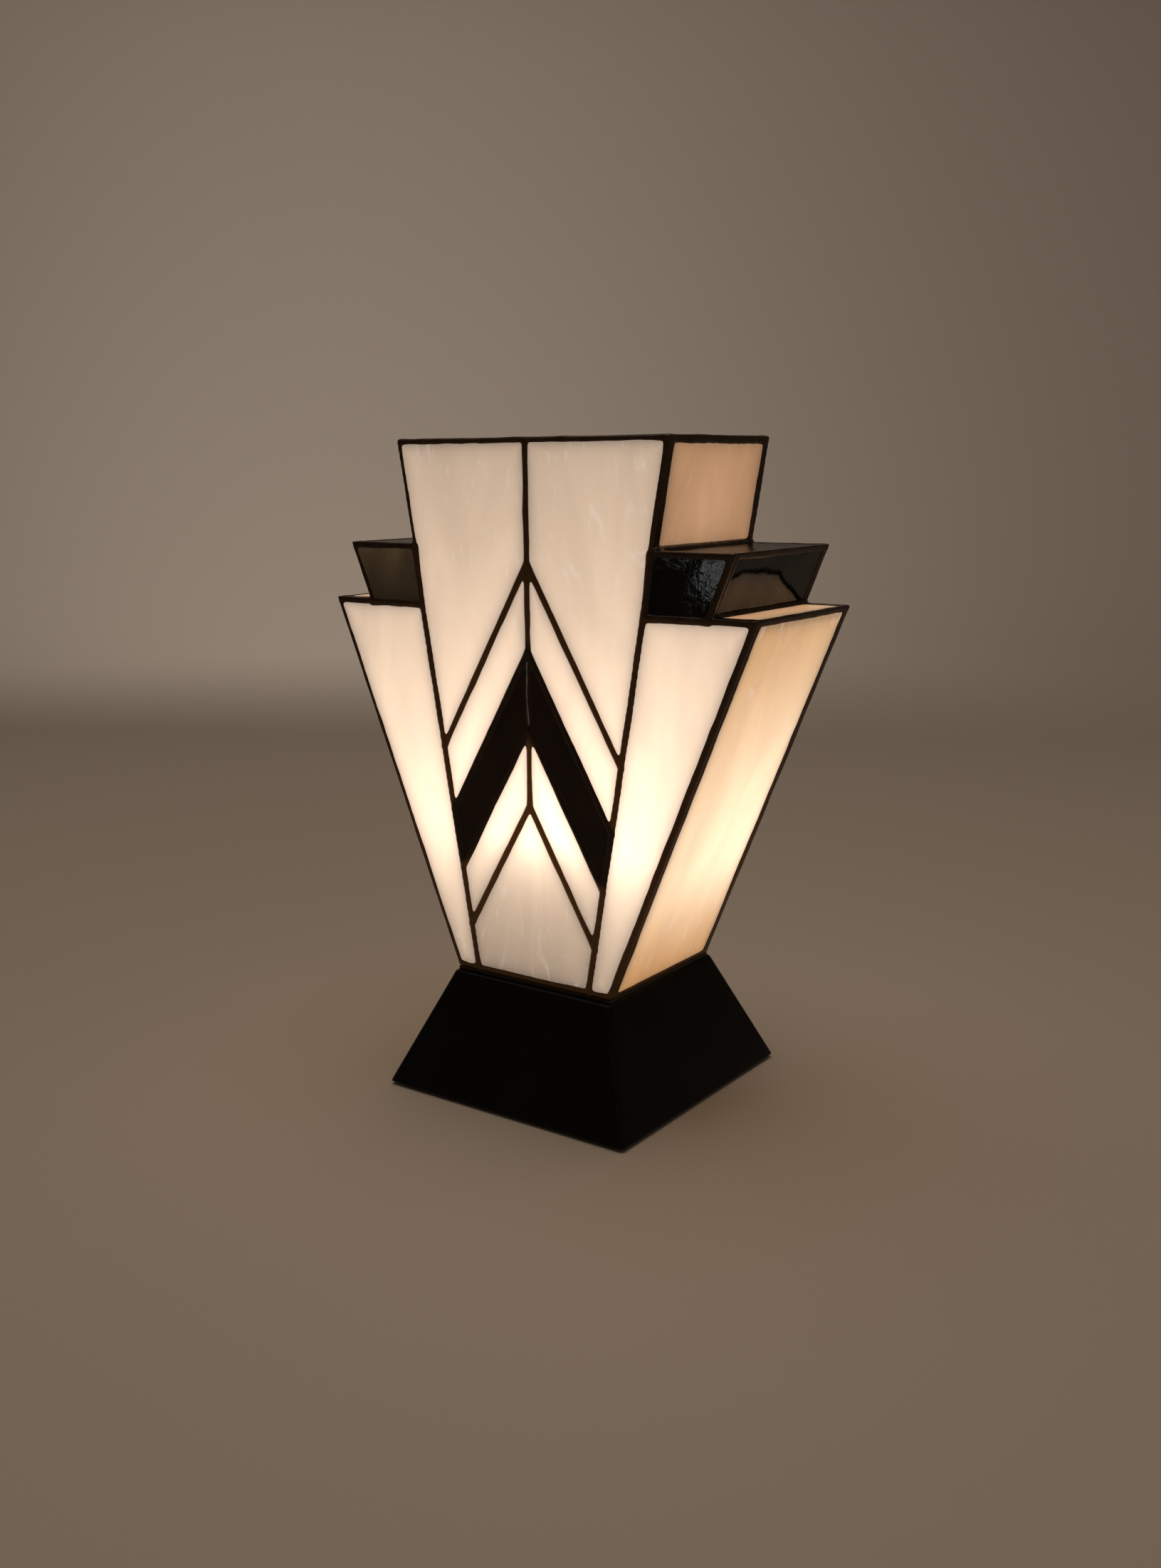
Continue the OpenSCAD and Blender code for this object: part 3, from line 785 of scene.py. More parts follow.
def smooth_noise(length: float, spacing: float, count: int, rng: Random) -> np.ndarray:
    """A smooth random line: random values at a spacing, joined by cosine easing.

    Args:
        length: The line's length.
        spacing: Distance between random values.
        count: Samples along the line.
        rng: The random source.

    Returns:
        Values between -1 and 1 at evenly spaced samples.
    """
    knots = rng.uniform(-1, 1, int(length / spacing) + 3)
    place = np.linspace(0, length, count) / spacing
    low = np.floor(place).astype(int)
    ease = (1 - np.cos((place - low) * math.pi)) / 2
    return knots[low] * (1 - ease) + knots[low + 1] * ease


def spun(angle: float) -> np.ndarray:
    """The matrix that turns a plane by an angle in radians."""
    return np.array([[math.cos(angle), -math.sin(angle)], [math.sin(angle), math.cos(angle)]])


def shifted(start: np.ndarray, end: np.ndarray, distance: float) -> np.ndarray:
    """The line from start to end, moved to its left."""
    along = (end - start) / np.linalg.norm(end - start)
    return np.array([start, end]) + np.array([-along[1], along[0]]) * distance


def crossing(one: np.ndarray, two: np.ndarray) -> np.ndarray:
    """Where two lines, each given by two points, cross."""
    r, s, w = one[1] - one[0], two[1] - two[0], two[0] - one[0]
    return one[0] + r * (w[0] * s[1] - w[1] * s[0]) / (r[0] * s[1] - r[1] * s[0])


def inset(outline: np.ndarray, distances: Sequence[float]) -> np.ndarray:
    """A counter-clockwise outline with each side moved inwards by its own distance."""
    ahead = np.roll(outline, -1, axis=0)
    sides = [shifted(*side) for side in zip(outline, ahead, distances)]
    return np.array([crossing(sides[i - 1], side) for i, side in enumerate(sides)])


def lifted(point: np.ndarray, y: float) -> np.ndarray:
    """A point of X and Z put at a depth."""
    return np.array([point[0], y, point[1]])


# --- The shade ---


@dataclass
class FanOutline:
    """The stepped fan's sizes, and the lines that its panes meet on.

    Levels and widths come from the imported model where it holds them, and the rest are the lamp's own
    driving sizes.
    """

    step: float = 21.4 * MM
    column_foot_half: float = 31.3 * MM
    column_top_half: float = 72.8 * MM
    proud: float = 0.2 * MM
    chevron_slope: float = math.tan(math.radians(60))
    chevron_rises: tuple[float, ...] = (82.8 * MM, 117.4 * MM, 152.0 * MM, 190.3 * MM)

    def __post_init__(self) -> None:
        """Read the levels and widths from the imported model."""
        low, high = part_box("front_leading")
        self.foot_z, self.top_z = low.z, high.z
        self.wing_half = high.x
        self.front_y = low.y
        self.panel = high.y - low.y
        self.foot_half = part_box("shade_plate")[1].x
        self.wing_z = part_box("right_side_lower_step")[1].z + self.proud
        self.tier_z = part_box("right_side_black_step")[1].z + self.proud
        self.wing_lean = (self.wing_half - self.foot_half) / (self.wing_z - self.foot_z)
        self.column_lean = (self.column_top_half - self.column_foot_half) / (self.top_z - self.foot_z)
        self.tier_foot = self.wing_half - self.step
        self.tier_top = self.tier_foot + (self.tier_z - self.wing_z) * self.wing_lean
        self.mid_y = self.front_y + self.panel / 2

    def column_x(self, z: float) -> float:
        """Half width of the column at a height."""
        return self.column_foot_half + (z - self.foot_z) * self.column_lean

    def chevron_point(self, number: int) -> np.ndarray:
        """The point of a chevron line, counted from the lowest, on the middle of the column."""
        return np.array([0.0, self.foot_z + self.chevron_rises[number]])

    def chevron_end(self, number: int) -> np.ndarray:
        """Where a chevron line meets the column's right edge.

        The line falls by its slope from its point, and the edge leans out by its own lean, so the
        height is (point - slope x foot half width + slope x lean x foot height) / (1 + slope x lean).
        """
        slope, lean = self.chevron_slope, self.column_lean
        rise = self.foot_z + self.chevron_rises[number]
        z = (rise - slope * (self.column_foot_half - self.foot_z * lean)) / (1 + slope * lean)
        return np.array([self.column_x(z), z])

    def side_path(self) -> np.ndarray:
        """The right edge of the fan in X and Z, from the foot up over both steps."""
        return np.array([
            [self.foot_half, self.foot_z], [self.wing_half, self.wing_z],
            [self.tier_foot, self.wing_z], [self.tier_top, self.tier_z],
            [self.column_x(self.tier_z), self.tier_z], [self.column_top_half, self.top_z]])

    def side_inside(self, depth: float, low: float = 0.0, high: float = 0.0) -> np.ndarray:
        """The right edge moved inwards by a depth, its ends raised by low and lowered by high."""
        path = self.side_path()
        first = np.array([[-1.0, self.foot_z + low], [1.0, self.foot_z + low]])
        last = np.array([[-1.0, self.top_z - high], [1.0, self.top_z - high]])
        lines = [first, *(shifted(path[i], path[i + 1], depth) for i in range(5)), last]
        return np.array([crossing(lines[i], lines[i + 1]) for i in range(6)])


@dataclass
class PaneCut:
    """One pane as it is cut: its outline on the panel and the plane that it lies in.

    The outline starts with the two ends of its lower side, runs counter-clockwise, and comes back along
    its upper side, which may have a point in the middle.
    """

    name: str
    node: str
    glass: Glass
    outline: np.ndarray
    laps: tuple[float, ...]
    covers: tuple[float, ...]
    origin: np.ndarray
    across: np.ndarray
    up: np.ndarray
    thickness: float
    spacing: float = 2.4 * MM
    ripple: float = 0.05 * MM
    turned: bool = False

    def surface(self, rng: Random) -> Surface:
        """The pane as a closed slab with softly rippled faces.

        The lower and upper sides are functions of u from 0 to 1, and a point at (u, v) lies v of the way
        from the one to the other. Both faces are lifted along the normal by three sine waves of random
        direction and phase. The rim joins the two faces.

        Args:
            rng: The random source for the ripple and for where on the sheet the pane was cut.

        Returns:
            The slab, with its place on the sheet and its distance from the leading.
        """
        cut = inset(self.outline, self.laps)
        lower, upper = cut[:2], cut[2:][::-1]
        width = max(np.linalg.norm(lower[1] - lower[0]), np.linalg.norm(upper[-1] - upper[0]))
        height = np.linalg.norm(upper.mean(0) - lower.mean(0))
        u = self.eased(max(8, 2 * int(width / self.spacing / 2)))
        v = self.eased(max(8, int(height / self.spacing)))
        share = np.linspace(0, 1, len(upper))
        low = lower[0] + u[:, None] * (lower[1] - lower[0])
        high = np.stack([np.interp(u, share, upper[:, k]) for k in (0, 1)], axis=-1)
        flat = (low[None] * (1 - v)[:, None, None] + high[None] * v[:, None, None]).reshape(-1, 2)
        lift_front = self.waves(flat, rng)
        lift_back = self.waves(flat, rng)
        base = self.origin + flat[:, :1] * self.across + flat[:, 1:] * self.up
        outward = np.cross(self.across, self.up)
        front = base + (self.thickness / 2 + lift_front)[:, None] * outward
        back = base - (self.thickness / 2 + lift_back)[:, None] * outward
        rows, columns = len(v), len(u)
        faces = grid_faces(rows, columns)
        under = grid_faces(rows, columns, start=len(flat))[:, ::-1]
        rim = self.rim_numbers(rows, columns)
        ahead = np.roll(rim, -1)
        sides = np.stack([ahead, rim, rim + len(flat), ahead + len(flat)], axis=-1)
        sheet = flat @ spun(rng.uniform(-0.14, 0.14)).T + rng.uniform(0, 3, 2)
        return Surface(
            np.concatenate([front, back]), np.concatenate([faces, under, sides]).tolist(),
            np.tile(sheet, (2, 1)), np.tile(self.edge_distance(flat), 2))

    @staticmethod
    def eased(cells: int) -> np.ndarray:
        """Shares from 0 to 1 that crowd towards both ends, where the painted shade beside the leading
        falls.
        """
        t = np.linspace(0, 1, cells + 1)
        return t - 0.11 * np.sin(2 * math.pi * t)

    @staticmethod
    def rim_numbers(rows: int, columns: int) -> np.ndarray:
        """The numbers of a grid's outer points, counter-clockwise from its first."""
        low = np.arange(columns - 1)
        right = np.arange(rows - 1) * columns + columns - 1
        high = (rows - 1) * columns + np.arange(columns - 1, 0, -1)
        left = np.arange(rows - 1, 0, -1) * columns
        return np.concatenate([low, right, high, left])

    def waves(self, flat: np.ndarray, rng: Random) -> np.ndarray:
        """Three sine waves summed, with lengths of 9 to 40 mm and random directions and phases."""
        total = np.zeros(len(flat))
        for length in (40 * MM, 19 * MM, 9 * MM):
            angle, phase = rng.uniform(0, 2 * math.pi, 2)
            way = np.array([math.cos(angle), math.sin(angle)]) * 2 * math.pi / length
            total += np.sin(flat @ way + phase) * length / (40 * MM)
        return total * self.ripple

    def edge_distance(self, flat: np.ndarray) -> np.ndarray:
        """Distance from each point to the nearest leading that shows, and 0 under the leading."""
        nearest = np.full(len(flat), np.inf)
        for i, cover in enumerate(self.covers):
            a, b = self.outline[i], self.outline[(i + 1) % len(self.outline)]
            along = (b - a) / np.linalg.norm(b - a)
            reach = (flat - a) @ np.array([-along[1], along[0]]) - cover
            nearest = np.minimum(nearest, reach)
        return np.maximum(nearest, 0.0)


@dataclass
class Bead:
    """One run of solder between two points."""

    start: np.ndarray
    end: np.ndarray
    radius: float
    wander: float = 0.16 * MM
    fade: float = 3.2 * MM

    def surface(self, rng: Random, sides: int = 14) -> Surface:
        """A closed, slightly uneven rod with domed ends.

        Along the run the radius is its own size plus smooth noise, and a swelling at each end that
        fades as exp(-(distance / fade)^2). The middle line wanders by smooth noise that is nothing at
        the ends. Past each end the rod closes as a half ball.

        Args:
            rng: The random source.
            sides: Points round the rod.

        Returns:
            The closed rod.
        """
        run = self.end - self.start
        length = float(np.linalg.norm(run))
        along = run / length
        helper = np.array([0.0, 1.0, 0.0]) if abs(along[1]) < 0.7 else np.array([1.0, 0.0, 0.0])
        one = np.cross(along, helper)
        one /= np.linalg.norm(one)
        two = np.cross(along, one)
        count = max(6, int(length / (1.1 * MM)))
        s = np.linspace(0, length, count)
        swell = np.exp(-(s / self.fade) ** 2) + np.exp(-((length - s) / self.fade) ** 2)
        uneven = 0.045 * smooth_noise(length, 7 * MM, count, rng)
        uneven += 0.03 * smooth_noise(length, 2.6 * MM, count, rng)
        radius = self.radius * (1 + uneven + 0.07 * swell)
        hold = np.sin(math.pi * s / length) ** 0.5
        wander = self.wander * hold * smooth_noise(length, 13 * MM, count, rng)
        middle = self.start + s[:, None] * along + wander[:, None] * one
        dome = np.linspace(0, math.pi / 2, 5)[1:]
        first = self.start - radius[0] * np.sin(dome[::-1])[:, None] * along
        last = self.end + radius[-1] * np.sin(dome)[:, None] * along
        middle = np.concatenate([first, middle, last])
        radius = np.concatenate([
            radius[0] * np.cos(dome[::-1]) + 1e-6, radius, radius[-1] * np.cos(dome) + 1e-6])
        a = np.linspace(0, 2 * math.pi, sides, endpoint=False)
        ring = np.cos(a)[:, None] * one + np.sin(a)[:, None] * two
        points = (middle[:, None] + radius[:, None, None] * ring[None]).reshape(-1, 3)
        rows = len(middle)
        faces = grid_faces(rows, sides, wrap=True).tolist()
        faces.append(list(range(sides))[::-1])
        faces.append(list(range((rows - 1) * sides, rows * sides)))
        return Surface(points, faces)


@dataclass
class Shade:
    """The leaded shade: 36 panes and the solder that joins them."""

    fan: FanOutline = field(default_factory=FanOutline)
    glass: float = 3.0 * MM
    line_radius: float = 2.2 * MM
    corner_radius: float = 1.6 * MM
    corner_inset: float = 1.4 * MM
    return_radius: float = 2.3 * MM
    return_inset: float = 3.7 * MM
    proud: float = 0.2 * MM
    top_radius: float = 2.2 * MM
    ridge_radius: float = 0.36 * MM
    hollow_radius: float = 2.6 * MM
    hollow_inset: float = 0.6 * MM
    foot_inset: float = 1.7 * MM
    tier_drop: float = 0.6 * MM
    voxel: float = 0.62 * MM
    seed: int = 11

    def build(self) -> None:
        """Make every pane and then the leading."""
        rng = np.random.default_rng(self.seed)
        for cut in [*self.panel_cuts(), *self.side_cuts()]:
            finish = GLASS_FINISH[cut.glass]
            if cut.turned and isinstance(finish, LitOpalGlass):
                finish = finish.turned()
            make_piece(cut.name, cut.surface(rng), finish, cut.node)
        for face in Face:
            self.leading(f"{face.value}_solder", self.panel_beads(face), f"{face.value}_leading", rng)
            self.painted_glint_ridge(face, rng)
        for side in Side:
            self.leading(f"{side.value}_solder", self.side_beads(side), f"{side.value}_leading", rng)

    def painted_glint_ridge(self, face: Face, rng: Random) -> None:
        """A painted glint: a crooked bright line of light grey metal along the middle of the black
        chevron.

        Args:
            face: The panel that it is on.
            rng: The random source.
        """
        way = face.way
        y = way * (self.fan.mid_y - self.line_radius + self.ridge_radius / 3)
        high, low = self.fan.chevron_point(2), self.fan.chevron_point(1)
        clear = np.array([0.0, 5.0 * MM])
        bend = np.array([way * 0.7 * MM, 0.0])
        points = [high - clear, (high + low) / 2 - bend / 2, low + clear / 2 + bend]
        line = Surface.joined([
            Bead(lifted(a, y), lifted(b, y), self.ridge_radius, 0.2 * MM).surface(rng, 10)
            for a, b in zip(points, points[1:])])
        make_piece(f"{face.value}_painted_glint_ridge", line, PAINTED_GLINT_SOLDER,
                   f"{face.value}_leading")

    def half_outlines(self) -> dict[str, tuple]:
        """The right half's panes on a panel, by kind.

        Returns:
            For each kind its outline on the joint lines, how far the glass stops short of each side,
            how far the solder covers each side, and its glass.
        """
        fan = self.fan
        line, corner = 0.5 * MM, 1.5 * MM
        seen, edge = 1.5 * MM, 2.5 * MM
        points = [fan.chevron_point(i) for i in range(4)]
        ends = [fan.chevron_end(i) for i in range(4)]
        inner, outer = (line, line, line, line), (seen, seen, seen, seen)
        shapes = {}
        for kind, low, glass in (("inner_chevron", 0, Glass.PANEL_WHITE),
                                 ("black_chevron", 1, Glass.CHEVRON_BLACK),
                                 ("outer_chevron", 2, Glass.PANEL_WHITE)):
            shape = np.array([points[low], ends[low], ends[low + 1], points[low + 1]])
            shapes[kind] = (shape, inner, outer, glass)
        shapes["crown"] = (
            np.array([points[3], ends[3], [fan.column_top_half, fan.top_z], [0.0, fan.top_z]]),
            (line, line, corner, line), (seen, seen, 2.6 * MM, seen), Glass.PANEL_WHITE)
        shapes["wing"] = (
            np.array([[fan.column_foot_half, fan.foot_z], [fan.foot_half, fan.foot_z],
                      [fan.wing_half, fan.wing_z], [fan.column_x(fan.wing_z), fan.wing_z]]),
            (corner, corner, corner, line), (3.0 * MM, edge, 2.8 * MM, seen), Glass.WING_WHITE)
        foot = fan.wing_z - self.tier_drop
        shapes["tier"] = (
            np.array([[fan.column_x(foot), foot], [fan.tier_foot, foot],
                      [fan.tier_top, fan.tier_z], [fan.column_x(fan.tier_z), fan.tier_z]]),
            (0.0, corner, corner, line), (0.4 * MM, edge, 3.0 * MM, seen), Glass.BLACK)
        return shapes

    def foot_outline(self) -> tuple:
        """The foot pane's outline, laps, covers and glass, across the whole column."""
        fan = self.fan
        end = fan.chevron_end(0)
        shape = np.array([[-fan.column_foot_half, fan.foot_z], [fan.column_foot_half, fan.foot_z],
                          end, fan.chevron_point(0), end * MIRROR])
        line = 0.5 * MM
        return (shape, (1.5 * MM, line, line, line, line),
                (3.3 * MM, 1.5 * MM, 1.5 * MM, 1.5 * MM, 1.5 * MM), Glass.PANEL_WHITE)

    def panel_cuts(self) -> Iterable[PaneCut]:
        """Every pane of the front and back panels."""
        for face in Face:
            way = face.way
            plane = dict(
                origin=np.array([0.0, way * self.fan.mid_y, 0.0]), across=np.array([way, 0.0, 0.0]),
                up=np.array([0.0, 0.0, 1.0]), thickness=self.glass, turned=face is Face.BACK)
            shape, laps, covers, glass = self.foot_outline()
            node = f"{face.value}_foot_pane"
            yield PaneCut(f"glass_{node}", node, glass, shape, laps, covers, **plane)
            for kind, (shape, laps, covers, glass) in self.half_outlines().items():
                for side in Side:
                    node = f"{face.value}_{kind}_{side.value}"
                    # the left tier is cut from the black glass with painted light coming through it
                    backlit = kind == "tier" and side is Side.LEFT
                    sheet = Glass.BACKLIT_BLACK if backlit else glass
                    drawn = (shape, laps, covers)
                    if (side is Side.RIGHT) != (face is Face.FRONT):
                        drawn = (shape[[1, 0, 3, 2]] * MIRROR, *(
                            tuple(sizes[i] for i in (0, 3, 2, 1)) for sizes in (laps, covers)))
                    yield PaneCut(f"glass_{node}", node, sheet, *drawn,
                                  ripple=self.ripple_of(glass), **plane)

    @staticmethod
    def ripple_of(glass: Glass) -> float:
        """How strongly a glass's faces ripple: the black is a wavier sheet."""
        return 0.10 * MM if glass.dark else 0.05 * MM

    def side_cuts(self) -> Iterable[PaneCut]:
        """Every pane of the two folded sides."""
        kinds = (("lower", Glass.SIDE_WHITE), ("lower_step", Glass.STEP_WHITE), ("black", Glass.BLACK),
                 ("black_step", Glass.STEP_BLACK), ("crown", Glass.CROWN_SIDE_WHITE))
        path = self.fan.side_inside(self.fan.panel / 2)
        half = -self.fan.front_y - 1.6 * MM
        for side in Side:
            way = side.way
            for i, (kind, glass) in enumerate(kinds):
                start, end = path[i], path[i + 1]
                length = float(np.linalg.norm(end - start))
                along = (end - start) / length
                low, high = (1.2 if i == 0 else 0.2) * MM, (1.4 if i == 4 else 0.2) * MM
                shape = np.array([[-half, 0.0], [half, 0.0], [half, length], [-half, length]])
                node = f"{side.value}_side_{kind}"
                cover, wide = 1.9 * MM, 3.5 * MM
                yield PaneCut(
                    f"glass_{node}", node, glass, shape, (low, 0.0, high, 0.0),
                    (cover, wide, cover, wide),
                    origin=np.array([way * start[0], 0.0, start[1]]),
                    across=np.array([0.0, way, 0.0]),
                    up=np.array([way * along[0], 0.0, along[1]]),
                    thickness=self.glass, ripple=self.ripple_of(glass), turned=side is Side.LEFT)

    def panel_beads(self, face: Face) -> list[Bead]:
        """The solder runs of one panel: the joint lines, and the corners all round its edge."""
        fan = self.fan
        way = face.way
        edge_y = way * (fan.front_y + self.corner_inset)
        edge = fan.side_inside(self.corner_inset, self.foot_inset, self.corner_inset)
        runs: list[tuple] = []
        for side in (1.0, -1.0):
            flip = np.array([side, 1.0])
            for i in range(4):
                runs.append((fan.chevron_point(i), fan.chevron_end(i) * flip, self.line_radius))
            foot = np.array([fan.column_foot_half, fan.foot_z + self.foot_inset]) * flip
            wing = np.array([fan.column_x(fan.wing_z), fan.wing_z]) * flip
            tier = edge[4] * flip
            runs += [(foot, wing, self.line_radius), (wing, tier, self.line_radius)]
            low = np.array([0.0, -self.foot_inset])
            outer = np.array([fan.tier_foot - self.line_radius / 2, fan.wing_z]) * flip
            runs.append((wing + low, outer + low, self.line_radius))
        top = np.array([0.0, fan.top_z - self.line_radius])
        beads = [Bead(lifted(a, way * fan.mid_y), lifted(b, way * fan.mid_y), r)
                 for a, b, r in runs]
        beads.append(Bead(lifted(fan.chevron_point(0), way * fan.mid_y),
                          lifted(top, way * fan.mid_y), self.line_radius, 0.34 * MM))
        for side in (1.0, -1.0):
            flip = np.array([side, 1.0])
            beads += [Bead(lifted(edge[i] * flip, edge_y), lifted(edge[i + 1] * flip, edge_y),
                           self.corner_radius) for i in range(5)]
        for end in (edge[0], edge[5]):
            beads.append(Bead(lifted(end * MIRROR, edge_y), lifted(end, edge_y), self.corner_radius))
        return beads

    def side_beads(self, side: Side) -> list[Bead]:
        """The solder runs of one side: across its folds, foot and top, and along its two edges."""
        fan = self.fan
        way = side.way
        reach = -fan.front_y - self.corner_inset
        proud = fan.side_inside(self.corner_inset, self.foot_inset, self.corner_inset)
        hollow = fan.side_inside(self.hollow_inset)
        beads = []
        for i in range(6):
            inside = i in (2, 4)
            spot = hollow[i] if inside else proud[i]
            radius = self.hollow_radius if inside else self.corner_radius
            end = reach + self.corner_radius - radius
            beads.append(Bead(np.array([way * spot[0], -end, spot[1]]),
                              np.array([way * spot[0], end, spot[1]]), radius))
        flip = np.array([way, 1.0])
        low = self.top_radius - self.proud
        top = fan.side_inside(low, self.foot_inset, low)[5] * flip
        end = reach + self.corner_radius - self.top_radius
        beads.append(Bead(lifted(top, -end), lifted(top, end), self.top_radius))
        depth = self.return_radius - self.proud
        edge = fan.side_inside(depth, depth, depth) * flip
        for y in (fan.front_y + self.return_inset, -fan.front_y - self.return_inset):
            beads += [Bead(lifted(edge[i], y), lifted(edge[i + 1], y), self.return_radius,
                           0.08 * MM) for i in range(5)]
        return beads

    def white_beside(self, places: np.ndarray) -> np.ndarray:
        """Tell leading that has white glass beside it from leading round the black glass.

        The middle line of the black chevron runs, on each half, from halfway between its two points to
        halfway between its two ends. The share is the distance from that line, less half the chevron's
        width and half a bead radius, over a bead radius, kept between 0 and 1. It falls to 0 over the
        same length above the wings and past the column's edge, where the black tier is.

        Args:
            places: One row for each point.

        Returns:
            The share, 0 beside black glass and 1 elsewhere.
        """
        tops, ends = ([find(number) for number in (1, 2)]
                      for find in (self.fan.chevron_point, self.fan.chevron_end))
        top, end = sum(tops) / 2, sum(ends) / 2
        along = (end - top) / np.linalg.norm(end - top)
        flat = np.column_stack([np.abs(places[:, 0]), places[:, 2]]) - top
        reach = np.minimum(flat @ along, np.linalg.norm(end - top))
        away = np.linalg.norm(flat - reach[:, None] * along, axis=1)
        half = abs(along[0]) * (tops[1] - tops[0])[1] / 2
        share = np.clip((away - half - self.line_radius / 2) / self.line_radius, 0.0, 1.0)
        above = np.clip((places[:, 2] - self.fan.wing_z) / self.line_radius + 1.0, 0.0, 1.0)
        past = np.abs(places[:, 0]) - self.fan.column_x(places[:, 2])
        past = np.clip(past / self.line_radius + 0.5, 0.0, 1.0)
        return share * (1.0 - 0.85 * above * past)

    def leading(self, name: str, beads: Sequence[Bead], node: str, rng: Random) -> None:
        """Run a set of beads together into one skin of solder.

        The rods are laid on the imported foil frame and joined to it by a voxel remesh, which fills the
        crooks where they meet, and a light smoothing takes the voxel steps off.

        Args:
            name: The piece's name.
            beads: The runs.
            node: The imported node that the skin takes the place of.
            rng: The random source.
        """
        rods = Surface.joined([packed_surface(node), *(bead.surface(rng) for bead in beads)])
        rough = link(name + "_rods", rods.mesh(name + "_rods"))
        remesh = rough.modifiers.new("run_together", "REMESH")
        remesh.mode = "VOXEL"
        remesh.voxel_size = self.voxel
        ease = rough.modifiers.new("ease", "SMOOTH")
        ease.factor, ease.iterations = 0.5, 2
        skin = applied(rough)
        bpy.data.objects.remove(rough)
        skin.name = name
        skin.shade_smooth()
        mark(skin, "lit", self.white_beside(read_mesh(skin.vertices, "co", 3, np.float32)))
        finish_piece(link(name, skin), SOLDER, node, LAMP_BODY)


# --- The plinth ---


@dataclass
class Plinth:
    """The black tapered plinth: mitred boards with eased edges, and what is under and inside it."""

    board: float = 9.0 * MM
    corner: float = 2.2 * MM
    top_round: float = 0.9 * MM
    foot_round: float = 0.8 * MM
    seam: float = 0.16 * MM
    inlet_z: float = 20.0 * MM
    cord_radius: float = 3.5 * MM
    waist: float = 6.0 * MM
    flange: float = 8.0 * MM
    flange_t: float = 2.0 * MM
    rim: float = 0.8 * MM

    def __post_init__(self) -> None:
        """Read the boards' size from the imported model.

        The top's half width is that of the shade's plate plus the rim that shows round it. The lean is
        the boards' sideways growth per metre of height.
        """
        low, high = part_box("front_board")
        self.low_z, self.high_z = low.z, high.z
        self.foot_half = high.x
        self.top_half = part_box("shade_plate")[1].x + self.rim
        self.lean = (self.foot_half - self.top_half) / (self.high_z - self.low_z)
        self.wall = self.board / math.cos(math.atan(self.lean))

    def half(self, z: np.ndarray) -> np.ndarray:
        """Half width of the plinth at a height."""
        return self.foot_half - (z - self.low_z) * self.lean

    def build(self) -> None:
        """Make the boards, the pads and the grommet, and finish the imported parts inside."""
        for name, turn in (("front", 0), ("right", 90), ("back", 180), ("left", -90)):
            board = self.board_surface(turn)
            piece = make_piece(f"{name}_board_painted", board, BLACK_PAINT,
                               f"{name}_board", sharp=60)
            if name == "back":
                self.bore_inlet(piece)
        self.build_pads()
        self.build_grommet()
        dress_nodes({"top_board": BARE_WOOD, "glue_blocks": BARE_WOOD, "bottom_cover": HARDBOARD,
                     "wood_screws": SCREW_BRASS, "shade_plate": PLATE_METAL})

    def board_surface(self, turn: float, cells: int = 24) -> Surface:
        """One mitred board, drawn at the front and turned to its side.

        At each height the outer line runs from mitre to mitre at the half width, with an arc of 45
        degrees into each mitre and a hair's groove at the seam; the inner line is straight. Near the
        top and the foot the outer line draws in along a quarter circle.

        Args:
            turn: Angle about Z in degrees.
            cells: Cells along the straight part.

        Returns:
            The closed board.
        """
        bend = np.linspace(0, math.pi / 2, 6)
        levels = np.concatenate([
            self.low_z + self.foot_round * (1 - np.cos(bend)),
            np.linspace(self.low_z + self.foot_round, self.high_z - self.top_round, 14)[1:-1],
            self.high_z - self.top_round * (1 - np.sin(bend))])
        drawn = np.concatenate([
            self.foot_round * (1 - np.sin(bend)), np.zeros(12), self.top_round * (1 - np.cos(bend))])
        outer_half = self.half(levels) - drawn
        inner_half = self.half(levels) - self.wall
        arc = np.linspace(math.pi / 4, 0, 6)
        straight = np.linspace(-1, 1, cells + 1)[1:-1]
        rows = []
        for out, inn, z in zip(outer_half, inner_half, levels):
            centre = out - self.corner
            right_x = centre + self.corner * np.sin(arc)
            right_y = -centre - self.corner * np.cos(arc)
            right_x[0] -= self.seam
            right_y[0] += self.seam
            x = np.concatenate([-right_x, straight * centre, right_x[::-1]])
            y = np.concatenate([right_y, np.full(len(straight), -out), right_y[::-1]])
            inner_x = np.linspace(-inn, inn, len(x))
            loop_x = np.concatenate([x, inner_x[::-1]])
            loop_y = np.concatenate([y, np.full(len(x), -inn)])
            rows.append(np.stack([loop_x, loop_y, np.full(len(loop_x), z)], axis=-1))
        points = np.concatenate(rows)
        loop = len(rows[0])
        half_loop = loop // 2
        faces = grid_faces(len(rows), loop, wrap=True).tolist()
        cap = np.arange(half_loop - 1)
        partner = loop - 1 - cap
        low_cap = np.stack([cap, partner, partner - 1, cap + 1], axis=-1)
        top_start = (len(rows) - 1) * loop
        faces += low_cap.tolist() + (low_cap[:, ::-1] + top_start).tolist()
        a = math.radians(turn)
        spin = np.array([[math.cos(a), -math.sin(a), 0], [math.sin(a), math.cos(a), 0], [0, 0, 1]])
        return Surface(points @ spin.T, faces)

    def inlet_frame(self) -> tuple[np.ndarray, np.ndarray, np.ndarray, np.ndarray]:
        """The cord inlet's middle on the back face, and its three axes, the last one outwards."""
        slope = math.atan(self.lean)
        middle = np.array([0.0, float(self.half(np.array(self.inlet_z))), self.inlet_z])
        out = np.array([0.0, math.cos(slope), math.sin(slope)])
        one = np.array([1.0, 0.0, 0.0])
        return middle, one, np.cross(out, one), out

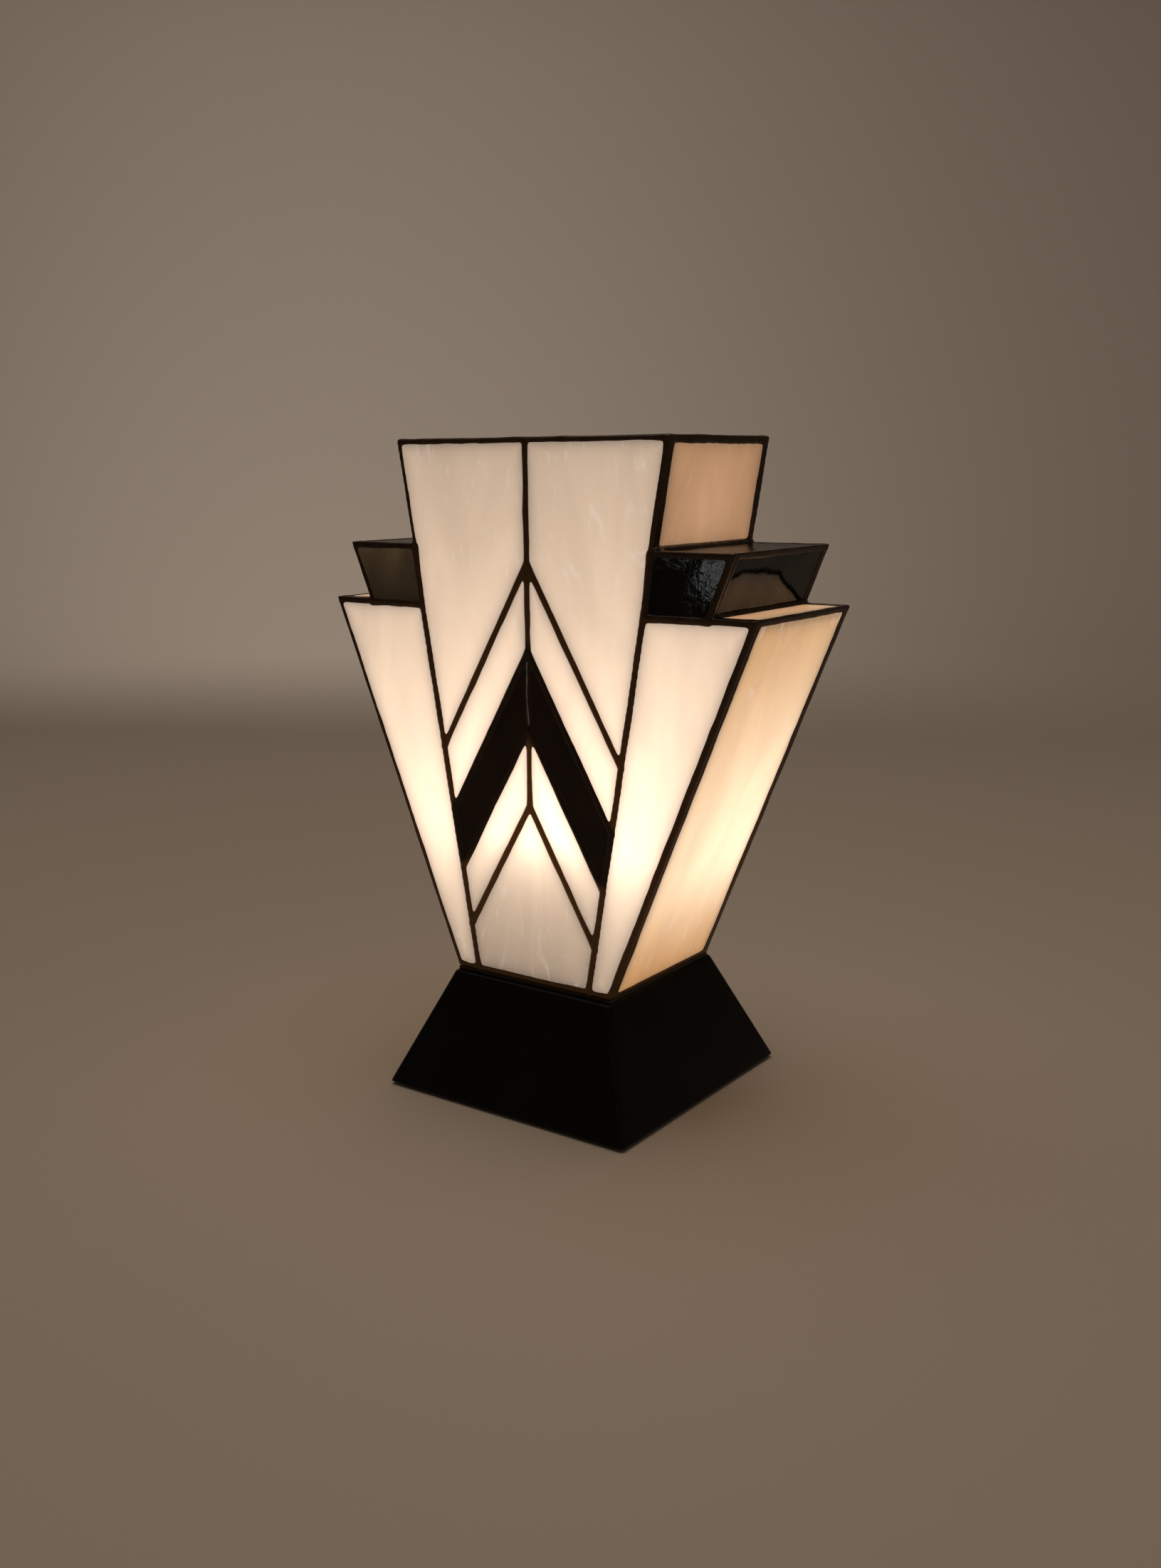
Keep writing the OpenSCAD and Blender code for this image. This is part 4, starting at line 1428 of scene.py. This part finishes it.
    def on_inlet(self, surface: Surface) -> Surface:
        """A surface drawn round Z, placed round the inlet's axis."""
        middle, one, two, out = self.inlet_frame()
        p = surface.points
        moved = middle + p[:, :1] * one + p[:, 1:2] * two + p[:, 2:] * out
        return Surface(moved, surface.faces)

    def bore_inlet(self, board: bpy.types.Object) -> None:
        """Cut the grommet's hole through the back board."""
        reach = 2 * self.board
        outline = np.array([[0, -reach], [self.waist, -reach], [self.waist, reach], [0, reach]])
        drill = self.on_inlet(lathe(outline, 48)).mesh("drill")
        drill.shade_flat()
        tool = link("drill", drill)
        cut = board.modifiers.new("inlet", "BOOLEAN")
        cut.operation, cut.solver, cut.object = "DIFFERENCE", "EXACT", tool
        bored = applied(board)
        board.modifiers.clear()
        board.data = bored
        bpy.data.objects.remove(tool)

    def build_grommet(self) -> None:
        """The rubber grommet: a turned ring with two rounded flanges and a waist in the board."""
        rim, waist, hole = self.flange, self.waist, self.cord_radius
        top, low = self.flange_t, -self.board - self.flange_t
        outline = rounded(
            [(hole, low), (rim, low), (rim, -self.board), (waist, -self.board), (waist, 0.0),
             (rim, 0.0), (rim, top), (hole, top)], 0.8 * MM)
        make_piece("cord_grommet_rubber", self.on_inlet(lathe(outline, 48)), RUBBER,
                   "cord_grommet")

    def build_pads(self) -> None:
        """Four felt pads with soft edges."""
        low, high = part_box("felt_pads")
        radius = 7.0 * MM
        outline = rounded([(0, low.z), (radius, low.z), (radius, high.z), (0, high.z)], 0.5 * MM)
        outline[:, 0] = np.maximum(outline[:, 0], 0)
        pads = []
        for sx in (-1, 1):
            for sy in (-1, 1):
                pad = lathe(np.array(outline), 40)
                pad.points = pad.points + np.array([sx, sy, 0]) * (high.x - radius)
                pads.append(pad)
        make_piece("felt_pads_soft", Surface.joined(pads), FELT, "felt_pads")


# --- The lamp holder and bulb ---


@dataclass
class LampHolder:
    """The holder on its threaded tube, inside the shade."""

    grip_ribs: int = 36
    rib: float = 0.35 * MM
    thread_pitch: float = 1.0 * MM
    tube_thread: float = 0.3 * MM

    def build(self) -> None:
        """Turn the base, body and tube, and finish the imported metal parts."""
        self.build_base()
        self.build_body()
        self.build_tube()
        dress_nodes({"tube_nut": NUT_STEEL, "holder_contact": BRASS, "holder_liner": BRASS})

    @staticmethod
    def build_base() -> None:
        """The holder's base: a moulded cup with a spigot."""
        low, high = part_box("holder_base")
        r, z = high.x, low.z
        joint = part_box("holder_body")[0].z
        outline = rounded(
            [(5.05 * MM, z), (r - 6 * MM, z), (r - 2 * MM, z + 5 * MM), (r, z + 10 * MM), (r, joint),
             (r - 2.6 * MM, joint), (r - 2.6 * MM, high.z), (r - 5.05 * MM, high.z),
             (r - 5.05 * MM, high.z - 1.4 * MM), (10 * MM, high.z - 1.4 * MM),
             (10 * MM, z + 8 * MM), (5.05 * MM, z + 8 * MM)], 0.7 * MM)
        make_piece("holder_base_moulded", lathe(outline), BAKELITE,
                   "holder_base")

    def build_body(self) -> None:
        """The holder's skirt, with a ribbed collar that fingers can grip.

        The collar's radius loses a rib's height times (0.5 - 0.5 cos(rib count x angle)).
        """
        low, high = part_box("holder_body")
        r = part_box("holder_base")[1].x
        collar, bore = high.x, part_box("holder_liner")[1].x + 0.05 * MM
        step = low.z + 5.05 * MM
        outline = rounded(
            [(r - 2.55 * MM, low.z), (r, low.z), (r, high.z - 7 * MM), (collar, high.z - 6 * MM),
             (collar, high.z - 1 * MM), (collar - 1 * MM, high.z), (bore, high.z), (bore, step),
             (r - 2.55 * MM, step)], 0.5 * MM)

        def ribs(radius: np.ndarray, z: np.ndarray, angle: np.ndarray) -> np.ndarray:
            """Ribs on the collar only, never proud of its own radius."""
            on_collar = (radius > collar - 0.6 * MM) & (z < high.z - 0.5 * MM)
            return np.where(on_collar, -self.rib * screw_wave(self.grip_ribs * angle), 0.0)

        make_piece("holder_body_moulded", lathe(outline, 4 * self.grip_ribs, ribs), BAKELITE,
                   "holder_body")

    def build_tube(self) -> None:
        """The threaded tube: a ring whose outside carries a helical thread."""
        low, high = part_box("threaded_tube")
        outer, inner = high.x, 3.5 * MM
        heights = np.arange(low.z, high.z, self.thread_pitch / 4)
        outline = np.concatenate([
            [(inner, low.z)], np.stack([np.full(len(heights), outer), heights], axis=-1),
            [(outer, high.z), (inner, high.z)]])

        def thread(radius: np.ndarray, z: np.ndarray, angle: np.ndarray) -> np.ndarray:
            """A shallow screw: the cut follows the cosine of turns climbed less the angle."""
            phase = 2 * math.pi * z / self.thread_pitch - angle
            return np.where(radius > inner + 1e-5, -self.tube_thread * screw_wave(phase), 0.0)

        make_piece("threaded_tube_cut", lathe(outline, 48, thread), BRASS,
                   "threaded_tube", sharp=60)


@dataclass
class Bulb:
    """The bulb: an opal globe on a rolled screw cap with its tip."""

    pitch: float = 3.629 * MM
    thread: float = 0.75 * MM
    wall: float = 0.4 * MM
    globe_wall: float = 0.9 * MM

    def build(self) -> None:
        """Make the cap, the globe and the tip, each on its own body."""
        self.build_cap()
        self.build_globe()
        self.build_tip()

    def build_cap(self) -> None:
        """The screw cap: a thin cup with a rounded helical thread rolled into its wall.

        Both faces of the wall lose thread x (0.5 - 0.5 cos(2 pi z / pitch - angle)), faded out at the
        cap's two ends.
        """
        low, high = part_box("bulb_cap")
        r, floor = high.x, low.z
        heights = np.linspace(floor, high.z, 70)
        inside = heights[heights > floor + self.wall][::-1]
        outline = np.concatenate([
            [(0.0, floor)], np.stack([np.full(len(heights), r), heights], axis=-1),
            np.stack([np.full(len(inside), r - self.wall), inside], axis=-1),
            [(r - self.wall, floor + self.wall), (0.0, floor + self.wall)]])

        def rolled(radius: np.ndarray, z: np.ndarray, angle: np.ndarray) -> np.ndarray:
            """The thread's depth where the wall is."""
            fade = np.clip((z - floor - 1 * MM) / (2 * MM), 0, 1)
            fade = fade * np.clip((high.z - 2 * MM - z) / (2 * MM), 0, 1)
            phase = 2 * math.pi * z / self.pitch - angle
            depth = self.thread * screw_wave(phase) * fade
            return np.where(radius > r - 1 * MM, -depth, 0.0)

        make_piece("bulb_cap_rolled", lathe(outline, 72, rolled), CAP_METAL, "bulb_cap",
                   BULB_BODY)

    def build_globe(self) -> None:
        """The globe: a neck that flares along a smooth curve into a ball.

        The ball is an arc of its radius from 35 degrees below its middle to its top, and the neck is a
        quadratic curve from the cap to the arc's start. The inside follows one wall further in.
        """
        low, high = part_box("bulb_glass")
        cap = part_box("bulb_cap")[1]
        radius = high.x
        ball = high.z - radius
        start = math.radians(-35)
        neck_r = cap.x - self.wall - 0.1 * MM

        def side(inwards: float) -> np.ndarray:
            """The outline from the neck's foot to the top, moved inwards."""
            a = np.linspace(start, math.pi / 2, 40)
            arc = np.stack([(radius - inwards) * np.cos(a), ball + (radius - inwards) * np.sin(a)], -1)
            t = np.linspace(0, 1, 20, endpoint=False)[:, None]
            foot = np.array([neck_r - inwards, cap.z])
            hand = np.array([neck_r - inwards + 3 * MM, cap.z + 12 * MM])
            neck = (1 - t) ** 2 * foot + 2 * t * (1 - t) * hand + t ** 2 * arc[0]
            line = np.concatenate([[(neck_r - inwards, low.z)], neck, arc])
            line[-1, 0] = 0.0
            return line

        outline = np.concatenate([side(0.0), side(self.globe_wall)[::-1]])
        make_piece("bulb_globe", lathe(outline, 96), BULB_GLASS, "bulb_glass", BULB_BODY,
                   sharp=60)

    @staticmethod
    def build_tip() -> None:
        """The tip: a contact pellet under a shallow cone of black glass."""
        low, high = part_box("bulb_tip")
        r, pellet = high.x, 4.7 * MM
        outline = rounded(
            [(0, low.z), (pellet, low.z), (pellet, low.z + 1.2 * MM), (r, high.z - 0.6 * MM),
             (r, high.z), (0, high.z)], 0.35 * MM, closed=False)
        make_piece("bulb_tip_turned", lathe(outline, 56), INSULATOR, "bulb_tip",
                   TIP_BODY)


# --- The studio ---


@dataclass
class Studio:
    """The floor, the soft lights and the camera."""

    azimuth: float = 35.598
    elevation: float = 11.92
    roll: float = -0.423
    distance: float = 712.4 * MM
    target: tuple[float, float, float] = (-1.64 * MM, 0.0, 141.9 * MM)
    lens: float = 34.93
    floor_colour: Colour = (0.50, 0.43, 0.36)
    air: Colour = (0.60, 0.52, 0.44)
    air_strength: float = 0.22

    def build(self) -> None:
        """Make the camera, the floor and the lights."""
        self.camera()
        self.floor()
        self.lights()

    def axes(self) -> tuple[np.ndarray, np.ndarray, np.ndarray]:
        """The camera's right, up and backward directions, with its roll."""
        a, e, r = (math.radians(x) for x in (self.azimuth, self.elevation, self.roll))
        back = np.array([math.sin(a) * math.cos(e), -math.cos(a) * math.cos(e), math.sin(e)])
        right = np.array([math.cos(a), math.sin(a), 0.0])
        up = np.cross(back, right)
        return (right * math.cos(r) + up * math.sin(r), up * math.cos(r) - right * math.sin(r), back)

    def camera(self) -> None:
        """The camera, set by its angles and its distance from a point in the lamp."""
        data = bpy.data.cameras.new("camera")
        data.sensor_width = 36.0
        data.lens = self.lens
        camera = link("camera", data)
        right, up, back = self.axes()
        camera.matrix_world = pose(right, up, back, np.array(self.target) + back * self.distance)
        bpy.context.scene.camera = camera

    def floor(self) -> None:
        """A pale floor that turns up all round into a wall, like the inside of a bowl."""
        flat, bend, wall = 1.9, 1.2, 3.6
        turn = np.linspace(0, math.pi / 2, 20)
        r = np.concatenate([[0.0], flat * np.linspace(0.1, 1, 6), flat + bend * np.sin(turn[1:])])
        z = np.concatenate([np.zeros(7), bend * (1 - np.cos(turn[1:]))])
        r, z = np.append(r, flat + bend), np.append(z, wall)
        angle = np.linspace(0, 2 * math.pi, 96, endpoint=False)
        points = np.stack([
            r[:, None] * np.cos(angle), r[:, None] * np.sin(angle), z[:, None] + 0 * angle], axis=-1)
        bowl = Surface(points.reshape(-1, 3), grid_faces(len(r), 96, wrap=True).tolist()).merged()
        mesh = bowl.mesh("floor")
        material = bpy.data.materials.new("studio_floor")
        material.use_nodes = True
        shader = material.node_tree.nodes["Principled BSDF"]
        shader.inputs["Base Color"].default_value = opaque(self.floor_colour)
        shader.inputs["Roughness"].default_value = 0.7
        mesh.materials.append(material)
        link("floor", mesh)

    def lights(self) -> None:
        """A soft overhead key, one on the wall behind, a low fill, and a narrow window."""
        for name, place, aim, size, power, tint in (
                ("key", (-0.15, 0.0, 1.9), (0.0, 0.0, 0.0), 1.7, 8.8, (1.0, 0.87, 0.75)),
                ("backdrop", (-1.2, 1.0, 1.1), (-2.0, 2.4, 0.3), 0.9, 7.5, (1.0, 0.95, 0.91)),
                ("fill", (1.6, -0.9, 0.8), (0.0, 0.0, 0.12), 1.2, 1.2, (1.0, 0.90, 0.80)),
                ("window", (-0.657, -1.334, 0.143), (0.09, 0.0, 0.24), 0.02, 0.018, (0.95, 0.98, 1.0))):
            data = bpy.data.lights.new(name, "AREA")
            data.shape, data.size, data.energy, data.color = "DISK", size, power, tint
            back = np.array(place) - np.array(aim)
            back /= np.linalg.norm(back)
            right = np.cross([0.0, 0.0, 1.0], back)
            right /= np.linalg.norm(right)
            link(name, data).matrix_world = pose(right, np.cross(back, right), back, place)
        world = bpy.data.worlds.new("air")
        world.use_nodes = True
        sky = world.node_tree.nodes["Background"]
        sky.inputs["Color"].default_value = opaque(self.air)
        sky.inputs["Strength"].default_value = self.air_strength
        bpy.context.scene.world = world
        bpy.context.scene.view_settings.view_transform = "Standard"


def main() -> None:
    """Build the studio and every sub-assembly."""
    logging.basicConfig(level=logging.INFO, format="%(name)s: %(message)s")
    for part in (Studio(), Shade(), Plinth(), LampHolder(), Bulb()):
        part.build()


if __name__ == "__main__":
    main()
